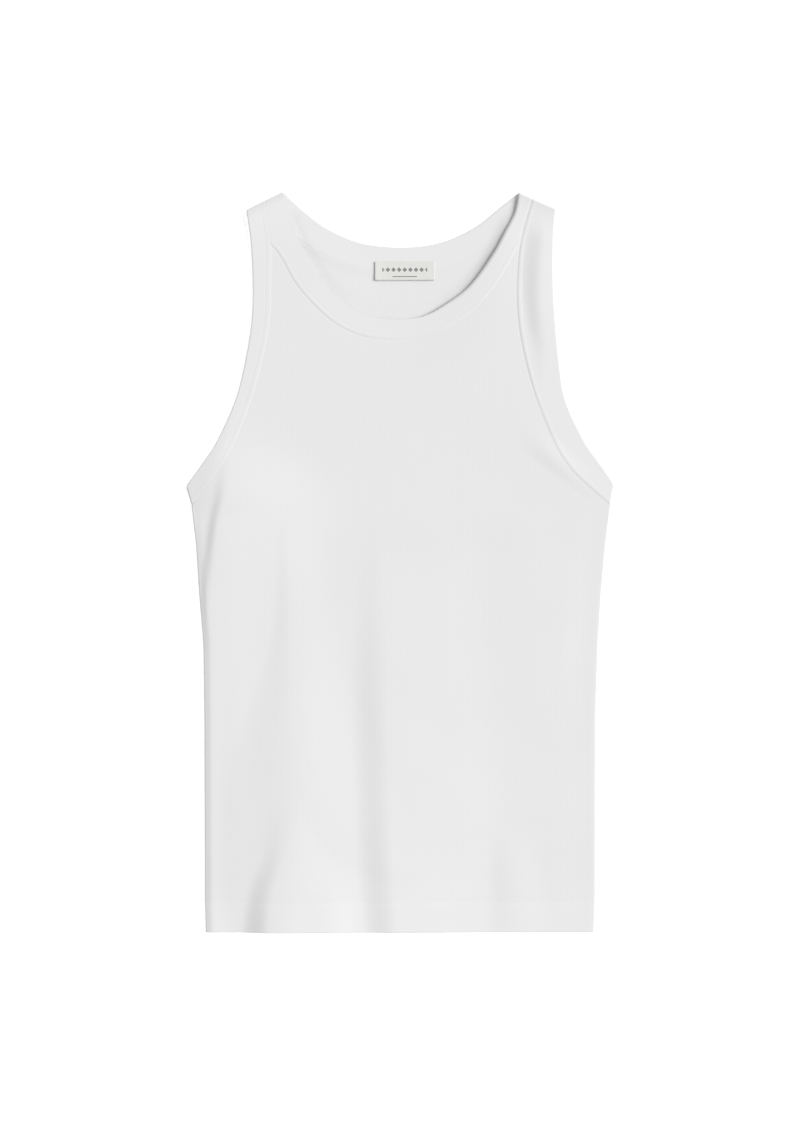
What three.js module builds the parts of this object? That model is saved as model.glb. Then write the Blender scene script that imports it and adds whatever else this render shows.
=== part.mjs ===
import * as THREE from 'three';

// A sleeveless rib-knit top, laid flat on its back with its front up.
// Millimetres. +X is the viewer's right, +Y runs from the hem to the neck, +Z is up,
// and the origin lies under the middle of the top, on the surface that it rests on.

// The tables below count from the photograph's middle. The origin lies this far from it, under the
// middle of the top.
const CENTRE = { x: 0.6, y: 0.4 };

// Overall sizes
const HEM_Y = -302.6;
const HEM_DEPTH = 22;
const SEAM_GAP = 0.3;
const PANEL_WALL = 1.2;
const BAND_WALL = 1.6;

// Where the bindings fold over: the two ends of each shoulder fold, the point between the neck and
// the arm binding on it, and the two ends of the underarm fold at the side
const FOLDS_OVER = {
  left: { neckX: -95.5, neckY: 304.1, joinX: -110.3, joinY: 296.9, armX: -125.5, armY: 289.2 },
  right: { neckX: 98, neckY: 303.8, joinX: 108.9, joinY: 299, armX: 128, armY: 290.6 },
};
const UNDERARM = {
  left: { tipX: -175, tipY: 62.3, seamX: -170.4, seamY: 47.3 },
  right: { tipX: 176.1, tipY: 62.3, seamX: 173.1, seamY: 47.3 },
};

// Side seams: how far each lies from the middle, level by level from the hem up
const SIDE_SEAMS = [
  { y: HEM_Y, left: 158.7, right: 159.7 },
  { y: -276, left: 159.4, right: 160.7 },
  { y: -129, left: 159.9, right: 161 },
  { y: -67, left: 160.7, right: 163 },
  { y: -26, left: 164.1, right: 165.5 },
  { y: 15, left: 166.7, right: 169.2 },
  { y: 47.3, left: 170.4, right: 173.1 },
];

// Armholes: how far the edge and the binding's seam lie from the middle, from the strap down
const ARMHOLES = [
  { y: 265, leftEdge: 122.1, leftSeam: 105.8, rightEdge: 126.1, rightSeam: 99.4, backSeam: 106 },
  { y: 232, leftEdge: 120.3, leftSeam: 105.3, rightEdge: 125.9, rightSeam: 96.1, backSeam: 105.5 },
  { y: 199, leftEdge: 121.1, leftSeam: 106.4, rightEdge: 127.6, rightSeam: 97, backSeam: 107 },
  { y: 166, leftEdge: 126.3, leftSeam: 112.6, rightEdge: 130.8, rightSeam: 102.9, backSeam: 112 },
  { y: 134, leftEdge: 134.3, leftSeam: 121.4, rightEdge: 136, rightSeam: 112.1, backSeam: 119.5 },
  { y: 101, leftEdge: 148.9, leftSeam: 134, rightEdge: 150.9, rightSeam: 125.9, backSeam: 132.5 },
  { y: 84, leftEdge: 159.7, leftSeam: 142.8, rightEdge: 162.5, rightSeam: 135.5, backSeam: 141.5 },
  { y: 69, leftEdge: 170.4, leftSeam: 153, rightEdge: 172.9, rightSeam: 148.4, backSeam: 152 },
];

// Front neckline from left to right, and how high the edge stands off the layer below
const FRONT_NECK_EDGE = [
  { x: -91.6, y: 288, lift: 0.6 },
  { x: -82.9, y: 265.7, lift: 1 },
  { x: -71.2, y: 245.2, lift: 1.2 },
  { x: -57.7, y: 224.7, lift: 1 },
  { x: -38, y: 208.3, lift: 0.9 },
  { x: -20, y: 201.2, lift: 0.8 },
  { x: 0, y: 199.5, lift: 0.8 },
  { x: 19, y: 201.9, lift: 1 },
  { x: 37, y: 211.3, lift: 1.5 },
  { x: 57.3, y: 227, lift: 2.1 },
  { x: 75.4, y: 251.5, lift: 2.5 },
  { x: 85.9, y: 270.5, lift: 2.4 },
  { x: 94.5, y: 287.3, lift: 1.6 },
];

// Seam of the front neck binding, from one strap to the other
const FRONT_NECK_SEAM = [
  { x: -96.5, y: 249 },
  { x: -87.3, y: 232 },
  { x: -75.9, y: 217.3 },
  { x: -61.1, y: 202.5 },
  { x: -44.3, y: 191.1 },
  { x: -24, y: 184.4 },
  { x: 0, y: 182.9 },
  { x: 28.3, y: 187.8 },
  { x: 46, y: 196.4 },
  { x: 61.9, y: 207.5 },
  { x: 80.4, y: 229.6 },
  { x: 93.1, y: 250.9 },
];

// Back neckline and the seam of its binding, from the middle out; both halves are alike
const BACK_NECK = [
  { edgeX: 0, edgeY: 258.8, seamX: 0, seamY: 238.6 },
  { edgeX: 32.4, edgeY: 262.4, seamX: 36, seamY: 243 },
  { edgeX: 60.7, edgeY: 274.7, seamX: 69.6, seamY: 257.3 },
  { edgeX: 82, edgeY: 291.1, seamX: 92.5, seamY: 274.6 },
];

// Level at which the neck seam runs out against the arm binding, on the front and on the back
const FRONT_HORN_Y = 262;
const BACK_HORN_Y = 286;

// Long folds that rise from the hem: where the crest lies level by level, its height, and the width
// of the flank on either side
const HEM_FOLDS = [
  {
    name: 'left of the middle',
    rows: [
      { y: HEM_Y, x: -86, height: 2.7, left: 60, right: 96 },
      { y: -240, x: -81, height: 3.4, left: 68, right: 90 },
      { y: -200, x: -80, height: 3.6, left: 68, right: 84 },
      { y: -150, x: -84.5, height: 2.7, left: 54, right: 68 },
      { y: -100, x: -87, height: 1.4, left: 32, right: 52 },
      { y: -50, x: -89.5, height: 0.7, left: 15, right: 44 },
      { y: 0, x: -91.4, height: 0.3, left: 10, right: 36 },
      { y: 40, x: -92, height: 0, left: 10, right: 36 },
    ],
  },
  {
    name: 'its sharper foot at the hem',
    rows: [
      { y: HEM_Y, x: -107, height: 4.2, left: 23, right: 125 },
      { y: -270, x: -103.5, height: 3, left: 22, right: 110 },
      { y: -240, x: -95, height: 1.2, left: 19, right: 44 },
      { y: -215, x: -91, height: 0.5, left: 22, right: 24 },
      { y: -190, x: -88, height: 0, left: 22, right: 24 },
    ],
  },
  {
    name: 'middle',
    rows: [
      { y: HEM_Y, x: -2.5, height: 3.5, left: 28, right: 90 },
      { y: -250, x: -5, height: 3.2, left: 30, right: 95 },
      { y: -186, x: -8, height: 2.8, left: 30, right: 95 },
      { y: -120, x: -10.5, height: 2, left: 29, right: 92 },
      { y: -70, x: -11.5, height: 1.5, left: 28, right: 88 },
      { y: -35, x: -12, height: 0.9, left: 26, right: 80 },
      { y: 0, x: -12.5, height: 0.35, left: 24, right: 70 },
      { y: 30, x: -13, height: 0, left: 24, right: 70 },
    ],
  },
];

// Folds that run at a slant: the two ends of the crest, its bow to the right, its height at the low
// end, in the middle and at the high end, and the width of each flank at the low and high end
const SLANT_FOLDS = [
  {
    name: 'right underarm, towards the chest',
    lowX: 156, lowY: 62, highX: 96, highY: 110, bow: 0,
    low: 0.3, middle: 0.8, high: 0, leftLow: 11, leftHigh: 13, rightLow: 16, rightHigh: 16,
  },
];

const FOLD_END = 20;

// Folds beside the armholes, level by level as those from the hem
const ARM_FOLDS = [
  {
    name: 'down the right strap',
    rows: [
      { y: 140, x: 121, height: 0, left: 11, right: 40 },
      { y: 174, x: 118.9, height: 0.7, left: 12, right: 40 },
      { y: 199, x: 116.4, height: 1.9, left: 14, right: 60 },
      { y: 223, x: 115.5, height: 2.4, left: 16, right: 60 },
      { y: 246, x: 117, height: 2.6, left: 18, right: 60 },
      { y: 264, x: 119, height: 2.2, left: 18, right: 60 },
      { y: 290, x: 119, height: 0.9, left: 18, right: 60 },
    ],
  },
  {
    name: 'left underarm, from the edge to the seam',
    rows: [
      { y: 40, x: -150, height: 1, left: 27, right: 95 },
      { y: 62, x: -150, height: 2.2, left: 29, right: 95 },
      { y: 76, x: -148, height: 2, left: 25, right: 90 },
      { y: 100, x: -141, height: 0.6, left: 14, right: 70 },
      { y: 130, x: -130, height: 0, left: 8, right: 60 },
    ],
  },
  {
    name: 'down from the left underarm',
    rows: [
      { y: -90, x: -162, height: 0, left: 9, right: 80 },
      { y: -70, x: -160, height: 0.15, left: 9, right: 80 },
      { y: -28, x: -156, height: 0.9, left: 9, right: 90 },
      { y: 14, x: -151.5, height: 2, left: 8.5, right: 110 },
      { y: 36, x: -148.5, height: 1.9, left: 8, right: 110 },
      { y: 52, x: -144.5, height: 1.7, left: 9, right: 100 },
      { y: 66, x: -142, height: 1, left: 10, right: 90 },
      { y: 80, x: -139, height: 0.4, left: 11, right: 80 },
      { y: 96, x: -136, height: 0, left: 11, right: 80 },
    ],
  },
];

// The front layer stands up just inside each side seam, less and less towards the underarm
const SIDE_PUFF = { left: 0.3, right: 0.15, inset: 4, fadesFrom: 5, fadesTo: 45 };

// The lift of the neck edge dies out over this reach, and the folds die out over these lengths:
// up the straps, and towards the outline
const NECK_LIFT_REACH = 140;
const STRAP_CALM = { from: 262, to: 290 };
const OUTLINE_CALM = 6;

// The front layer sinks onto the back above the hem, and rises again to meet the bindings
const HEM_SETTLE = 20;
const YOKE_SETTLE = { from: 5, to: 40 };

// Neck label
const LABEL = { left: -20.1, right: 28.7, low: 231.6, high: 246.8, wall: 0.6, endLift: 0.9, endLength: 9 };

// How finely the panels are divided: shares of the width, rows of the hem, of the body and of the yoke
const FRONT_ZONES = [
  { to: 0.045, count: 4 },
  { to: 0.5, count: 17 },
  { to: 0.955, count: 12 },
  { to: 1, count: 4 },
];
const BACK_ZONES = [
  { to: 0.05, count: 1 },
  { to: 0.95, count: 12 },
  { to: 1, count: 1 },
];
const PANEL_ROWS = { front: { hem: 2, body: 17, yoke: 14 }, back: { hem: 1, body: 5, yoke: 14 } };
const STITCH_STEP = 2.5;

// How far a panel's corners keep back: below the underarm's end, and out of the tip between bindings
const CORNER_DROP = 1.2;
const HORN_DROP = 1.7;

// Stations of the bindings
const STRAP_STATIONS = 3;
const TURN_STEPS = 6;
const BAND_ACROSS = [0.09, 0.3, 0.55, 0.8, 1];
const BAND_NOSE = 0.8;
const BISECTIONS = 40;

const KNIT_WHITE = 0xeeeeee;
const LABEL_WHITE = 0xe4e3de;

const mix = (a, b, share) => a + (b - a) * share;
const pointMix = (a, b, share) => new THREE.Vector2(mix(a.x, b.x, share), mix(a.y, b.y, share));
const smooth = (from, to, value) => THREE.MathUtils.smoothstep(value, from, to);

function curveThrough(points) {
  return new THREE.SplineCurve(points.map((point) => new THREE.Vector2(point.x, point.y)));
}

// Value of one column of a table at a level y, between its rows
function atLevel(table, column, y) {
  const last = table.length - 1;
  let row = 0;
  while (row < last - 1 && table[row + 1].y < y) row += 1;
  const low = table[row];
  const high = table[row + 1];
  return mix(low[column], high[column], THREE.MathUtils.clamp((y - low.y) / (high.y - low.y), 0, 1));
}

// Share of a curve's length at which it passes a level; the curve runs steadily down
function shareAtLevel(curve, y) {
  let above = 0;
  let below = 1;
  for (let step = 0; step < BISECTIONS; step += 1) {
    const middle = (above + below) / 2;
    if (curve.getPointAt(middle).y > y) above = middle;
    else below = middle;
  }
  return (above + below) / 2;
}

// Point of a curve, moved sideways: to the left of its running direction when the distance is positive
function beside(curve, share, distance) {
  const point = curve.getPointAt(share);
  const along = curve.getTangentAt(share);
  return new THREE.Vector2(point.x - along.y * distance, point.y + along.x * distance);
}

// Curves of one armhole, each from the shoulder fold down to the underarm fold
function armholeCurves(side) {
  const sign = side === 'left' ? -1 : 1;
  const shoulder = FOLDS_OVER[side];
  const underarm = UNDERARM[side];
  const edgeEnds = [{ x: shoulder.armX, y: shoulder.armY }, { x: underarm.tipX, y: underarm.tipY }];
  const seamEnds = [{ x: shoulder.joinX, y: shoulder.joinY }, { x: underarm.seamX, y: underarm.seamY }];
  const through = (column, ends) => {
    const rows = ARMHOLES.map((row) => ({ x: sign * row[column], y: row.y }));
    return curveThrough([ends[0], ...rows, ends[1]]);
  };
  return {
    edge: through(`${side}Edge`, edgeEnds),
    frontSeam: through(`${side}Seam`, seamEnds),
    backSeam: through('backSeam', seamEnds),
  };
}

const ARM = { left: armholeCurves('left'), right: armholeCurves('right') };

// A seam line runs in the middle of its gap. This is the arm binding's side of an armhole seam.
const HALF_GAP = SEAM_GAP / 2;
const armSideways = (side) => (side === 'left' ? -HALF_GAP : HALF_GAP);

// The horn is the place where the neck seam runs out against the arm binding
function hornShare(side, face) {
  return shareAtLevel(ARM[side][`${face}Seam`], face === 'front' ? FRONT_HORN_Y : BACK_HORN_Y);
}

function hornPoint(side, face) {
  return beside(ARM[side][`${face}Seam`], hornShare(side, face), -armSideways(side));
}

// Stations of an armhole seam: down the strap, then at the panel's rows below the horn
function strapShares(side, face) {
  const horn = hornShare(side, face);
  return Array.from({ length: STRAP_STATIONS }, (unused, step) => (horn * (step + 1)) / (STRAP_STATIONS + 1));
}

function yokeShare(side, face, up) {
  return mix(1, hornShare(side, face), up);
}

function neckCurves() {
  const left = { x: FOLDS_OVER.left.neckX, y: FOLDS_OVER.left.neckY };
  const right = { x: FOLDS_OVER.right.neckX, y: FOLDS_OVER.right.neckY };
  const mirrored = (x, y) => {
    const half = BACK_NECK.map((row) => ({ x: row[x], y: row[y] }));
    const otherHalf = half.slice(1).reverse().map((point) => ({ x: -point.x, y: point.y }));
    return [...otherHalf, ...half];
  };
  const hornToHorn = (face, points) =>
    curveThrough([hornPoint('left', face), ...points, hornPoint('right', face)]);
  return {
    frontEdge: curveThrough([left, ...FRONT_NECK_EDGE, right]),
    frontSeam: hornToHorn('front', FRONT_NECK_SEAM),
    backEdge: curveThrough([left, ...mirrored('edgeX', 'edgeY'), right]),
    backSeam: hornToHorn('back', mirrored('seamX', 'seamY')),
  };
}

const NECK = neckCurves();

// Samples of the front neck edge with its lift. A point of the front layer takes the lift of the
// samples near it; NECK_BLEND, in square millimetres, softens the change from one to the next.
const NECK_SAMPLES = 60;
const NECK_BLEND = 60;
const NECK_LIFTS = [0, ...FRONT_NECK_EDGE.map((row) => row.lift), 0];
const neckSamples = Array.from({ length: NECK_SAMPLES + 1 }, (unused, index) => {
  const share = index / NECK_SAMPLES;
  const place = share * (NECK_LIFTS.length - 1);
  const low = Math.min(Math.floor(place), NECK_LIFTS.length - 2);
  return {
    point: NECK.frontEdge.getPoint(share),
    lift: mix(NECK_LIFTS[low], NECK_LIFTS[low + 1], place - low),
  };
});

function neckLift(x, y) {
  let weights = 0;
  let lifts = 0;
  let nearest = Infinity;
  for (const { point, lift } of neckSamples) {
    const squared = (point.x - x) ** 2 + (point.y - y) ** 2;
    const weight = 1 / (squared + NECK_BLEND) ** 2;
    weights += weight;
    lifts += weight * lift;
    nearest = Math.min(nearest, Math.sqrt(squared));
  }
  const fall = 1 - smooth(0, NECK_LIFT_REACH, nearest);
  return (lifts / weights) * fall;
}

// Rise of a fold at a distance from its crest, to the right when positive
function overCrest(rightward, height, left, right) {
  const flank = rightward < 0 ? left : right;
  const across = THREE.MathUtils.clamp(Math.abs(rightward) / flank, 0, 1);
  return height * Math.cos(across * Math.PI / 2) ** 2;
}

function hemFold(rows, x, y) {
  if (y > rows[rows.length - 1].y) return 0;
  const crest = atLevel(rows, 'x', y);
  const height = atLevel(rows, 'height', y);
  const left = atLevel(rows, 'left', y);
  const right = atLevel(rows, 'right', y);
  return overCrest(x - crest, height, left, right);
}

function slantFold(fold, x, y) {
  const along = new THREE.Vector2(fold.highX - fold.lowX, fold.highY - fold.lowY);
  const length = along.length();
  along.divideScalar(length);
  const fromLow = new THREE.Vector2(x - fold.lowX, y - fold.lowY);
  const share = fromLow.dot(along) / length;
  const inside = THREE.MathUtils.clamp(share, 0, 1);
  const bow = fold.bow * 4 * inside * (1 - inside);
  const rightward = fromLow.x * along.y - fromLow.y * along.x - bow;
  const left = mix(fold.leftLow, fold.leftHigh, inside);
  const right = mix(fold.rightLow, fold.rightHigh, inside);
  const height = inside < 0.5
    ? mix(fold.low, fold.middle, smooth(0, 0.5, inside))
    : mix(fold.middle, fold.high, smooth(0.5, 1, inside));
  const pastEnd = Math.max(0, -share, share - 1) * length;
  const end = 1 - smooth(0, FOLD_END, pastEnd);
  return overCrest(rightward, height * end, left, right);
}

function sidePuff(x, y) {
  const fades = 1 - smooth(SIDE_PUFF.fadesFrom, SIDE_PUFF.fadesTo, y);
  const puffAt = (height, fromEdge) => {
    const share = Math.max(0, fromEdge) / SIDE_PUFF.inset;
    return height * share * Math.exp(1 - share);
  };
  const left = puffAt(SIDE_PUFF.left, x + atLevel(SIDE_SEAMS, 'left', y));
  const right = puffAt(SIDE_PUFF.right, atLevel(SIDE_SEAMS, 'right', y) - x);
  return fades * (left + right);
}

// The folds die out where the cloth turns over at the shoulders and where it is sewn at the sides
function loose(x, y) {
  const belowShoulder = 1 - smooth(STRAP_CALM.from, STRAP_CALM.to, y);
  const atSide = atLevel(SIDE_SEAMS, x < 0 ? 'left' : 'right', y);
  const widest = y > UNDERARM.left.seamY ? UNDERARM.right.tipX : atSide;
  return belowShoulder * smooth(0, OUTLINE_CALM, widest - Math.abs(x));
}

// Rise of the front layer above its rest
function rise(x, y) {
  let total = 0;
  for (const fold of [...HEM_FOLDS, ...ARM_FOLDS]) total += hemFold(fold.rows, x, y);
  for (const fold of SLANT_FOLDS) total += slantFold(fold, x, y);
  return total * loose(x, y) + neckLift(x, y) + sidePuff(x, y);
}

// Middle of a binding's wall
const BACK_BAND_MIDDLE = BAND_WALL / 2;
const frontBandMiddle = (x, y) => BAND_WALL + SEAM_GAP + BAND_WALL / 2 + rise(x, y);

// Wall of the panels: the hem is thicker, the body rests on the back, the yoke meets the bindings
const HEM_TOP = HEM_Y + HEM_DEPTH;
const panelWall = (y) => mix(BAND_WALL, PANEL_WALL, smooth(HEM_TOP, HEM_TOP + STITCH_STEP, y));

function frontUnderside(x, y) {
  const onHem = BAND_WALL + SEAM_GAP;
  const onBody = PANEL_WALL + SEAM_GAP;
  const atBindings = BAND_WALL + SEAM_GAP + (BAND_WALL - PANEL_WALL) / 2;
  const lower = mix(onHem, onBody, smooth(HEM_TOP + STITCH_STEP, HEM_TOP + HEM_SETTLE, y));
  return mix(lower, atBindings, smooth(YOKE_SETTLE.from, YOKE_SETTLE.to, y)) + rise(x, y);
}

// Shares of a width or length, from a table of zones
function shares(zones) {
  const list = [0];
  for (const zone of zones) {
    const start = list[list.length - 1];
    for (let step = 1; step <= zone.count; step += 1) list.push(mix(start, zone.to, step / zone.count));
  }
  return list;
}

const COLUMNS = { front: shares(FRONT_ZONES), back: shares(BACK_ZONES) };

// Plan of a panel: straight rows up to the underarm, then rows that bend towards the neck seam
function panelPlan(face) {
  const columns = COLUMNS[face];
  const rows = PANEL_ROWS[face];
  const plan = [];
  const sideTop = UNDERARM.left.seamY - CORNER_DROP;
  const level = (y) => {
    const left = -atLevel(SIDE_SEAMS, 'left', y);
    const right = atLevel(SIDE_SEAMS, 'right', y);
    plan.push(columns.map((share) => new THREE.Vector2(mix(left, right, share), y)));
  };
  for (let row = 0; row < rows.hem; row += 1) level(mix(HEM_Y, HEM_TOP, row / rows.hem));
  level(HEM_TOP);
  for (let row = 0; row < rows.body; row += 1) level(mix(HEM_TOP + STITCH_STEP, sideTop, row / rows.body));
  level(sideTop);

  const tops = neckSide(face, columns);
  const last = columns.length - 1;
  const bottom = plan[plan.length - 1];
  for (let row = 1; row < rows.yoke; row += 1) {
    const up = row / rows.yoke;
    const [left, right] = ['left', 'right'].map((side) =>
      beside(ARM[side][`${face}Seam`], yokeShare(side, face, up), -armSideways(side)));
    plan.push(columns.map((across, column) => {
      const between = pointMix(bottom[column], tops[column], up);
      const sides = pointMix(left, right, across);
      const corners = pointMix(
        pointMix(bottom[0], bottom[last], across),
        pointMix(tops[0], tops[last], across),
        up,
      );
      return between.add(sides).sub(corners);
    }));
  }
  plan.push(tops);
  return plan;
}

// Points of a panel along its neck seam; at each end the panel runs out between two bindings
function neckSide(face, columns) {
  const seam = NECK[`${face}Seam`];
  const last = columns.length - 1;
  return columns.map((across, column) => {
    if (column > 0 && column < last) return beside(seam, across, -HALF_GAP);
    const side = column === 0 ? 'left' : 'right';
    const downArm = ARM[side][`${face}Seam`].getTangentAt(hornShare(side, face));
    const downNeck = seam.getTangentAt(across).multiplyScalar(column === 0 ? 1 : -1);
    const between = downArm.add(downNeck).normalize();
    return hornPoint(side, face).addScaledVector(between, HORN_DROP);
  });
}

// Closed wall over a plan grid, from an underside and a thickness
function wallOver(plan, undersideOf, wallOf) {
  const rows = plan.length;
  const columns = plan[0].length;
  const positions = [];
  for (const raised of [true, false]) {
    for (const row of plan) {
      for (const { x, y } of row) {
        positions.push(x, y, undersideOf(x, y) + (raised ? wallOf(x, y) : 0));
      }
    }
  }
  const under = rows * columns;
  const index = [];
  const face = (a, b, c, d) => index.push(a, b, c, a, c, d);
  for (let row = 0; row < rows - 1; row += 1) {
    for (let column = 0; column < columns - 1; column += 1) {
      const corner = row * columns + column;
      face(corner, corner + 1, corner + columns + 1, corner + columns);
      face(under + corner, under + corner + columns, under + corner + columns + 1, under + corner + 1);
    }
  }
  const rim = [];
  for (let column = 0; column < columns; column += 1) rim.push(column);
  for (let row = 1; row < rows; row += 1) rim.push(row * columns + columns - 1);
  for (let column = columns - 2; column >= 0; column -= 1) rim.push((rows - 1) * columns + column);
  for (let row = rows - 2; row > 0; row -= 1) rim.push(row * columns);
  rim.forEach((here, place) => {
    const next = rim[(place + 1) % rim.length];
    face(here, under + here, under + next, next);
  });
  return geometryOf(positions, index);
}

function geometryOf(positions, index) {
  const geometry = new THREE.BufferGeometry();
  geometry.setAttribute('position', new THREE.Float32BufferAttribute(positions, 3));
  geometry.setIndex(index);
  geometry.computeVertexNormals();
  return geometry;
}

// A station of a binding gives, for a share across it from edge to seam, the middle of the wall
// there and the direction that faces out of the garment
function flatStation(face, edge, seam) {
  return (across) => {
    const { x, y } = pointMix(edge, seam, across);
    if (face === 'back') {
      return { middle: new THREE.Vector3(x, y, BACK_BAND_MIDDLE), out: new THREE.Vector3(0, 0, -1) };
    }
    return { middle: new THREE.Vector3(x, y, frontBandMiddle(x, y)), out: new THREE.Vector3(0, 0, 1) };
  };
}

// Point of a seam or edge just before its binding turns over a fold line through foldPoint
const TURN_INSET = (BAND_WALL + SEAM_GAP) / 2 + BAND_WALL / 2;
function beforeTurn(curve, end, sideways, foldPoint, outward) {
  const at = (share) => beside(curve, end === 'start' ? share : 1 - share, sideways);
  let near = 0;
  let far = 0.2;
  for (let step = 0; step < BISECTIONS; step += 1) {
    const middle = (near + far) / 2;
    if (foldPoint.clone().sub(at(middle)).dot(outward) < TURN_INSET) near = middle;
    else far = middle;
  }
  return at(far);
}

// Stations that carry a binding over a fold line, from the front layer down to the back layer.
// fold holds the outline's two points there, and front and back the points where each layer starts.
function turnStations(fold, front, back, outward) {
  const outermost = (across) =>
    pointMix(fold.edge, fold.seam, across).addScaledVector(outward, -BAND_WALL / 2);
  return Array.from({ length: TURN_STEPS + 1 }, (unused, step) => {
    const angle = (Math.PI * step) / TURN_STEPS;
    return (across) => {
      const top = pointMix(front.edge, front.seam, across);
      const start = angle < Math.PI / 2 ? top : pointMix(back.edge, back.seam, across);
      const { x, y } = pointMix(start, outermost(across), Math.sin(angle));
      const radius = (frontBandMiddle(top.x, top.y) - BACK_BAND_MIDDLE) / 2;
      const z = BACK_BAND_MIDDLE + radius * (1 + Math.cos(angle));
      const level = Math.sin(angle);
      return {
        middle: new THREE.Vector3(x, y, z),
        out: new THREE.Vector3(outward.x * level, outward.y * level, Math.cos(angle)),
      };
    };
  });
}

// Closed ring of a binding's rounded section, carried through its stations
function bandThrough(stations) {
  const positions = [];
  for (const station of stations) {
    const place = (across, height) => {
      const { middle, out } = station(across);
      const point = middle.addScaledVector(out, height);
      positions.push(point.x, point.y, point.z);
    };
    const halfAt = (across) => (BAND_WALL / 2) * (across === BAND_ACROSS[0] ? BAND_NOSE : 1);
    place(0, 0);
    for (const across of BAND_ACROSS) place(across, halfAt(across));
    for (const across of [...BAND_ACROSS].reverse()) place(across, -halfAt(across));
  }
  const around = 2 * BAND_ACROSS.length + 1;
  const index = [];
  for (let station = 0; station < stations.length; station += 1) {
    const here = station * around;
    const next = ((station + 1) % stations.length) * around;
    for (let side = 0; side < around; side += 1) {
      const other = (side + 1) % around;
      index.push(here + side, next + side, next + other, here + side, next + other, here + other);
    }
  }
  return facingOut(positions, index);
}

function facingOut(positions, index) {
  let volume = 0;
  const corner = (at) => new THREE.Vector3().fromArray(positions, 3 * at);
  for (let at = 0; at < index.length; at += 3) {
    volume += corner(index[at]).dot(corner(index[at + 1]).cross(corner(index[at + 2])));
  }
  return geometryOf(positions, volume > 0 ? index : index.reverse());
}

// Outward direction of a fold line in the plan, away from the middle of the top
function outwardOf(from, to) {
  const along = new THREE.Vector2(to.x - from.x, to.y - from.y).normalize();
  const side = new THREE.Vector2(-along.y, along.x);
  const away = new THREE.Vector2((from.x + to.x) / 2, (from.y + to.y) / 2);
  return side.dot(away) > 0 ? side : side.negate();
}

// Turn of a binding over the shoulder fold; the neck and arm bindings meet at the fold's joining point
function shoulderTurn(side, band) {
  const fold = FOLDS_OVER[side];
  const neckPoint = new THREE.Vector2(fold.neckX, fold.neckY);
  const armPoint = new THREE.Vector2(fold.armX, fold.armY);
  const join = new THREE.Vector2(fold.joinX, fold.joinY);
  const outward = outwardOf(neckPoint, armPoint);
  const edge = band === 'neck' ? neckPoint : armPoint;
  const seam = join.clone().addScaledVector(edge.clone().sub(join).normalize(), SEAM_GAP / 2);
  const towardsNeck = side === 'left' ? SEAM_GAP / 2 : -SEAM_GAP / 2;
  const sideways = band === 'neck' ? towardsNeck : -towardsNeck;
  const neckEnd = side === 'left' ? 'start' : 'end';
  const face = (name) => ({
    edge: band === 'neck'
      ? beforeTurn(NECK[`${name}Edge`], neckEnd, 0, neckPoint, outward)
      : beforeTurn(ARM[side].edge, 'start', 0, neckPoint, outward),
    seam: beforeTurn(ARM[side][`${name}Seam`], 'start', sideways, neckPoint, outward),
  });
  return turnStations({ edge, seam }, face('front'), face('back'), outward);
}

function underarmTurn(side) {
  const fold = UNDERARM[side];
  const edge = new THREE.Vector2(fold.tipX, fold.tipY);
  const seam = new THREE.Vector2(fold.seamX, fold.seamY);
  const outward = outwardOf(edge, seam);
  const sideways = armSideways(side);
  const face = (name) => ({
    edge: beforeTurn(ARM[side].edge, 'end', 0, edge, outward),
    seam: beforeTurn(ARM[side][`${name}Seam`], 'end', sideways, edge, outward),
  });
  return turnStations({ edge, seam }, face('front'), face('back'), outward);
}

// Stations of the neck binding on one face, from the left strap to the right one
const HORN_ON_EDGE = { front: { left: 0.105, right: 0.89 }, back: { left: 0.12, right: 0.88 } };
function neckStations(face) {
  const edge = NECK[`${face}Edge`];
  const seam = NECK[`${face}Seam`];
  const horns = HORN_ON_EDGE[face];
  const strap = (side) => strapShares(side, face).map((share) => {
    const part = share / hornShare(side, face);
    const edgeAt = side === 'left' ? part * horns.left : 1 - part * (1 - horns.right);
    const seamPoint = beside(ARM[side][`${face}Seam`], share, -armSideways(side));
    return flatStation(face, edge.getPointAt(edgeAt), seamPoint);
  });
  const middle = COLUMNS[face].map((share) => {
    const atHorn = share === 0 || share === 1;
    const edgeAt = mix(horns.left, horns.right, share);
    return flatStation(face, edge.getPointAt(edgeAt), beside(seam, share, atHorn ? 0 : HALF_GAP));
  });
  return [...strap('left'), ...middle, ...strap('right').reverse()];
}

function neckband() {
  return bandThrough([
    ...neckStations('front'),
    ...shoulderTurn('right', 'neck'),
    ...neckStations('back').reverse(),
    ...shoulderTurn('left', 'neck').reverse(),
  ]);
}

// Stations of an arm binding on one face, from the shoulder fold down to the underarm fold
function armStations(side, face) {
  const edge = ARM[side].edge;
  const seam = ARM[side][`${face}Seam`];
  const rows = PANEL_ROWS[face].yoke;
  const yoke = Array.from({ length: rows }, (unused, row) => yokeShare(side, face, (rows - row) / rows));
  return [...strapShares(side, face), ...yoke].map((share) =>
    flatStation(face, edge.getPointAt(share), beside(seam, share, armSideways(side))));
}

function armband(side) {
  return bandThrough([
    ...armStations(side, 'front'),
    ...underarmTurn(side),
    ...armStations(side, 'back').reverse(),
    ...shoulderTurn(side, 'arm').reverse(),
  ]);
}

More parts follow.
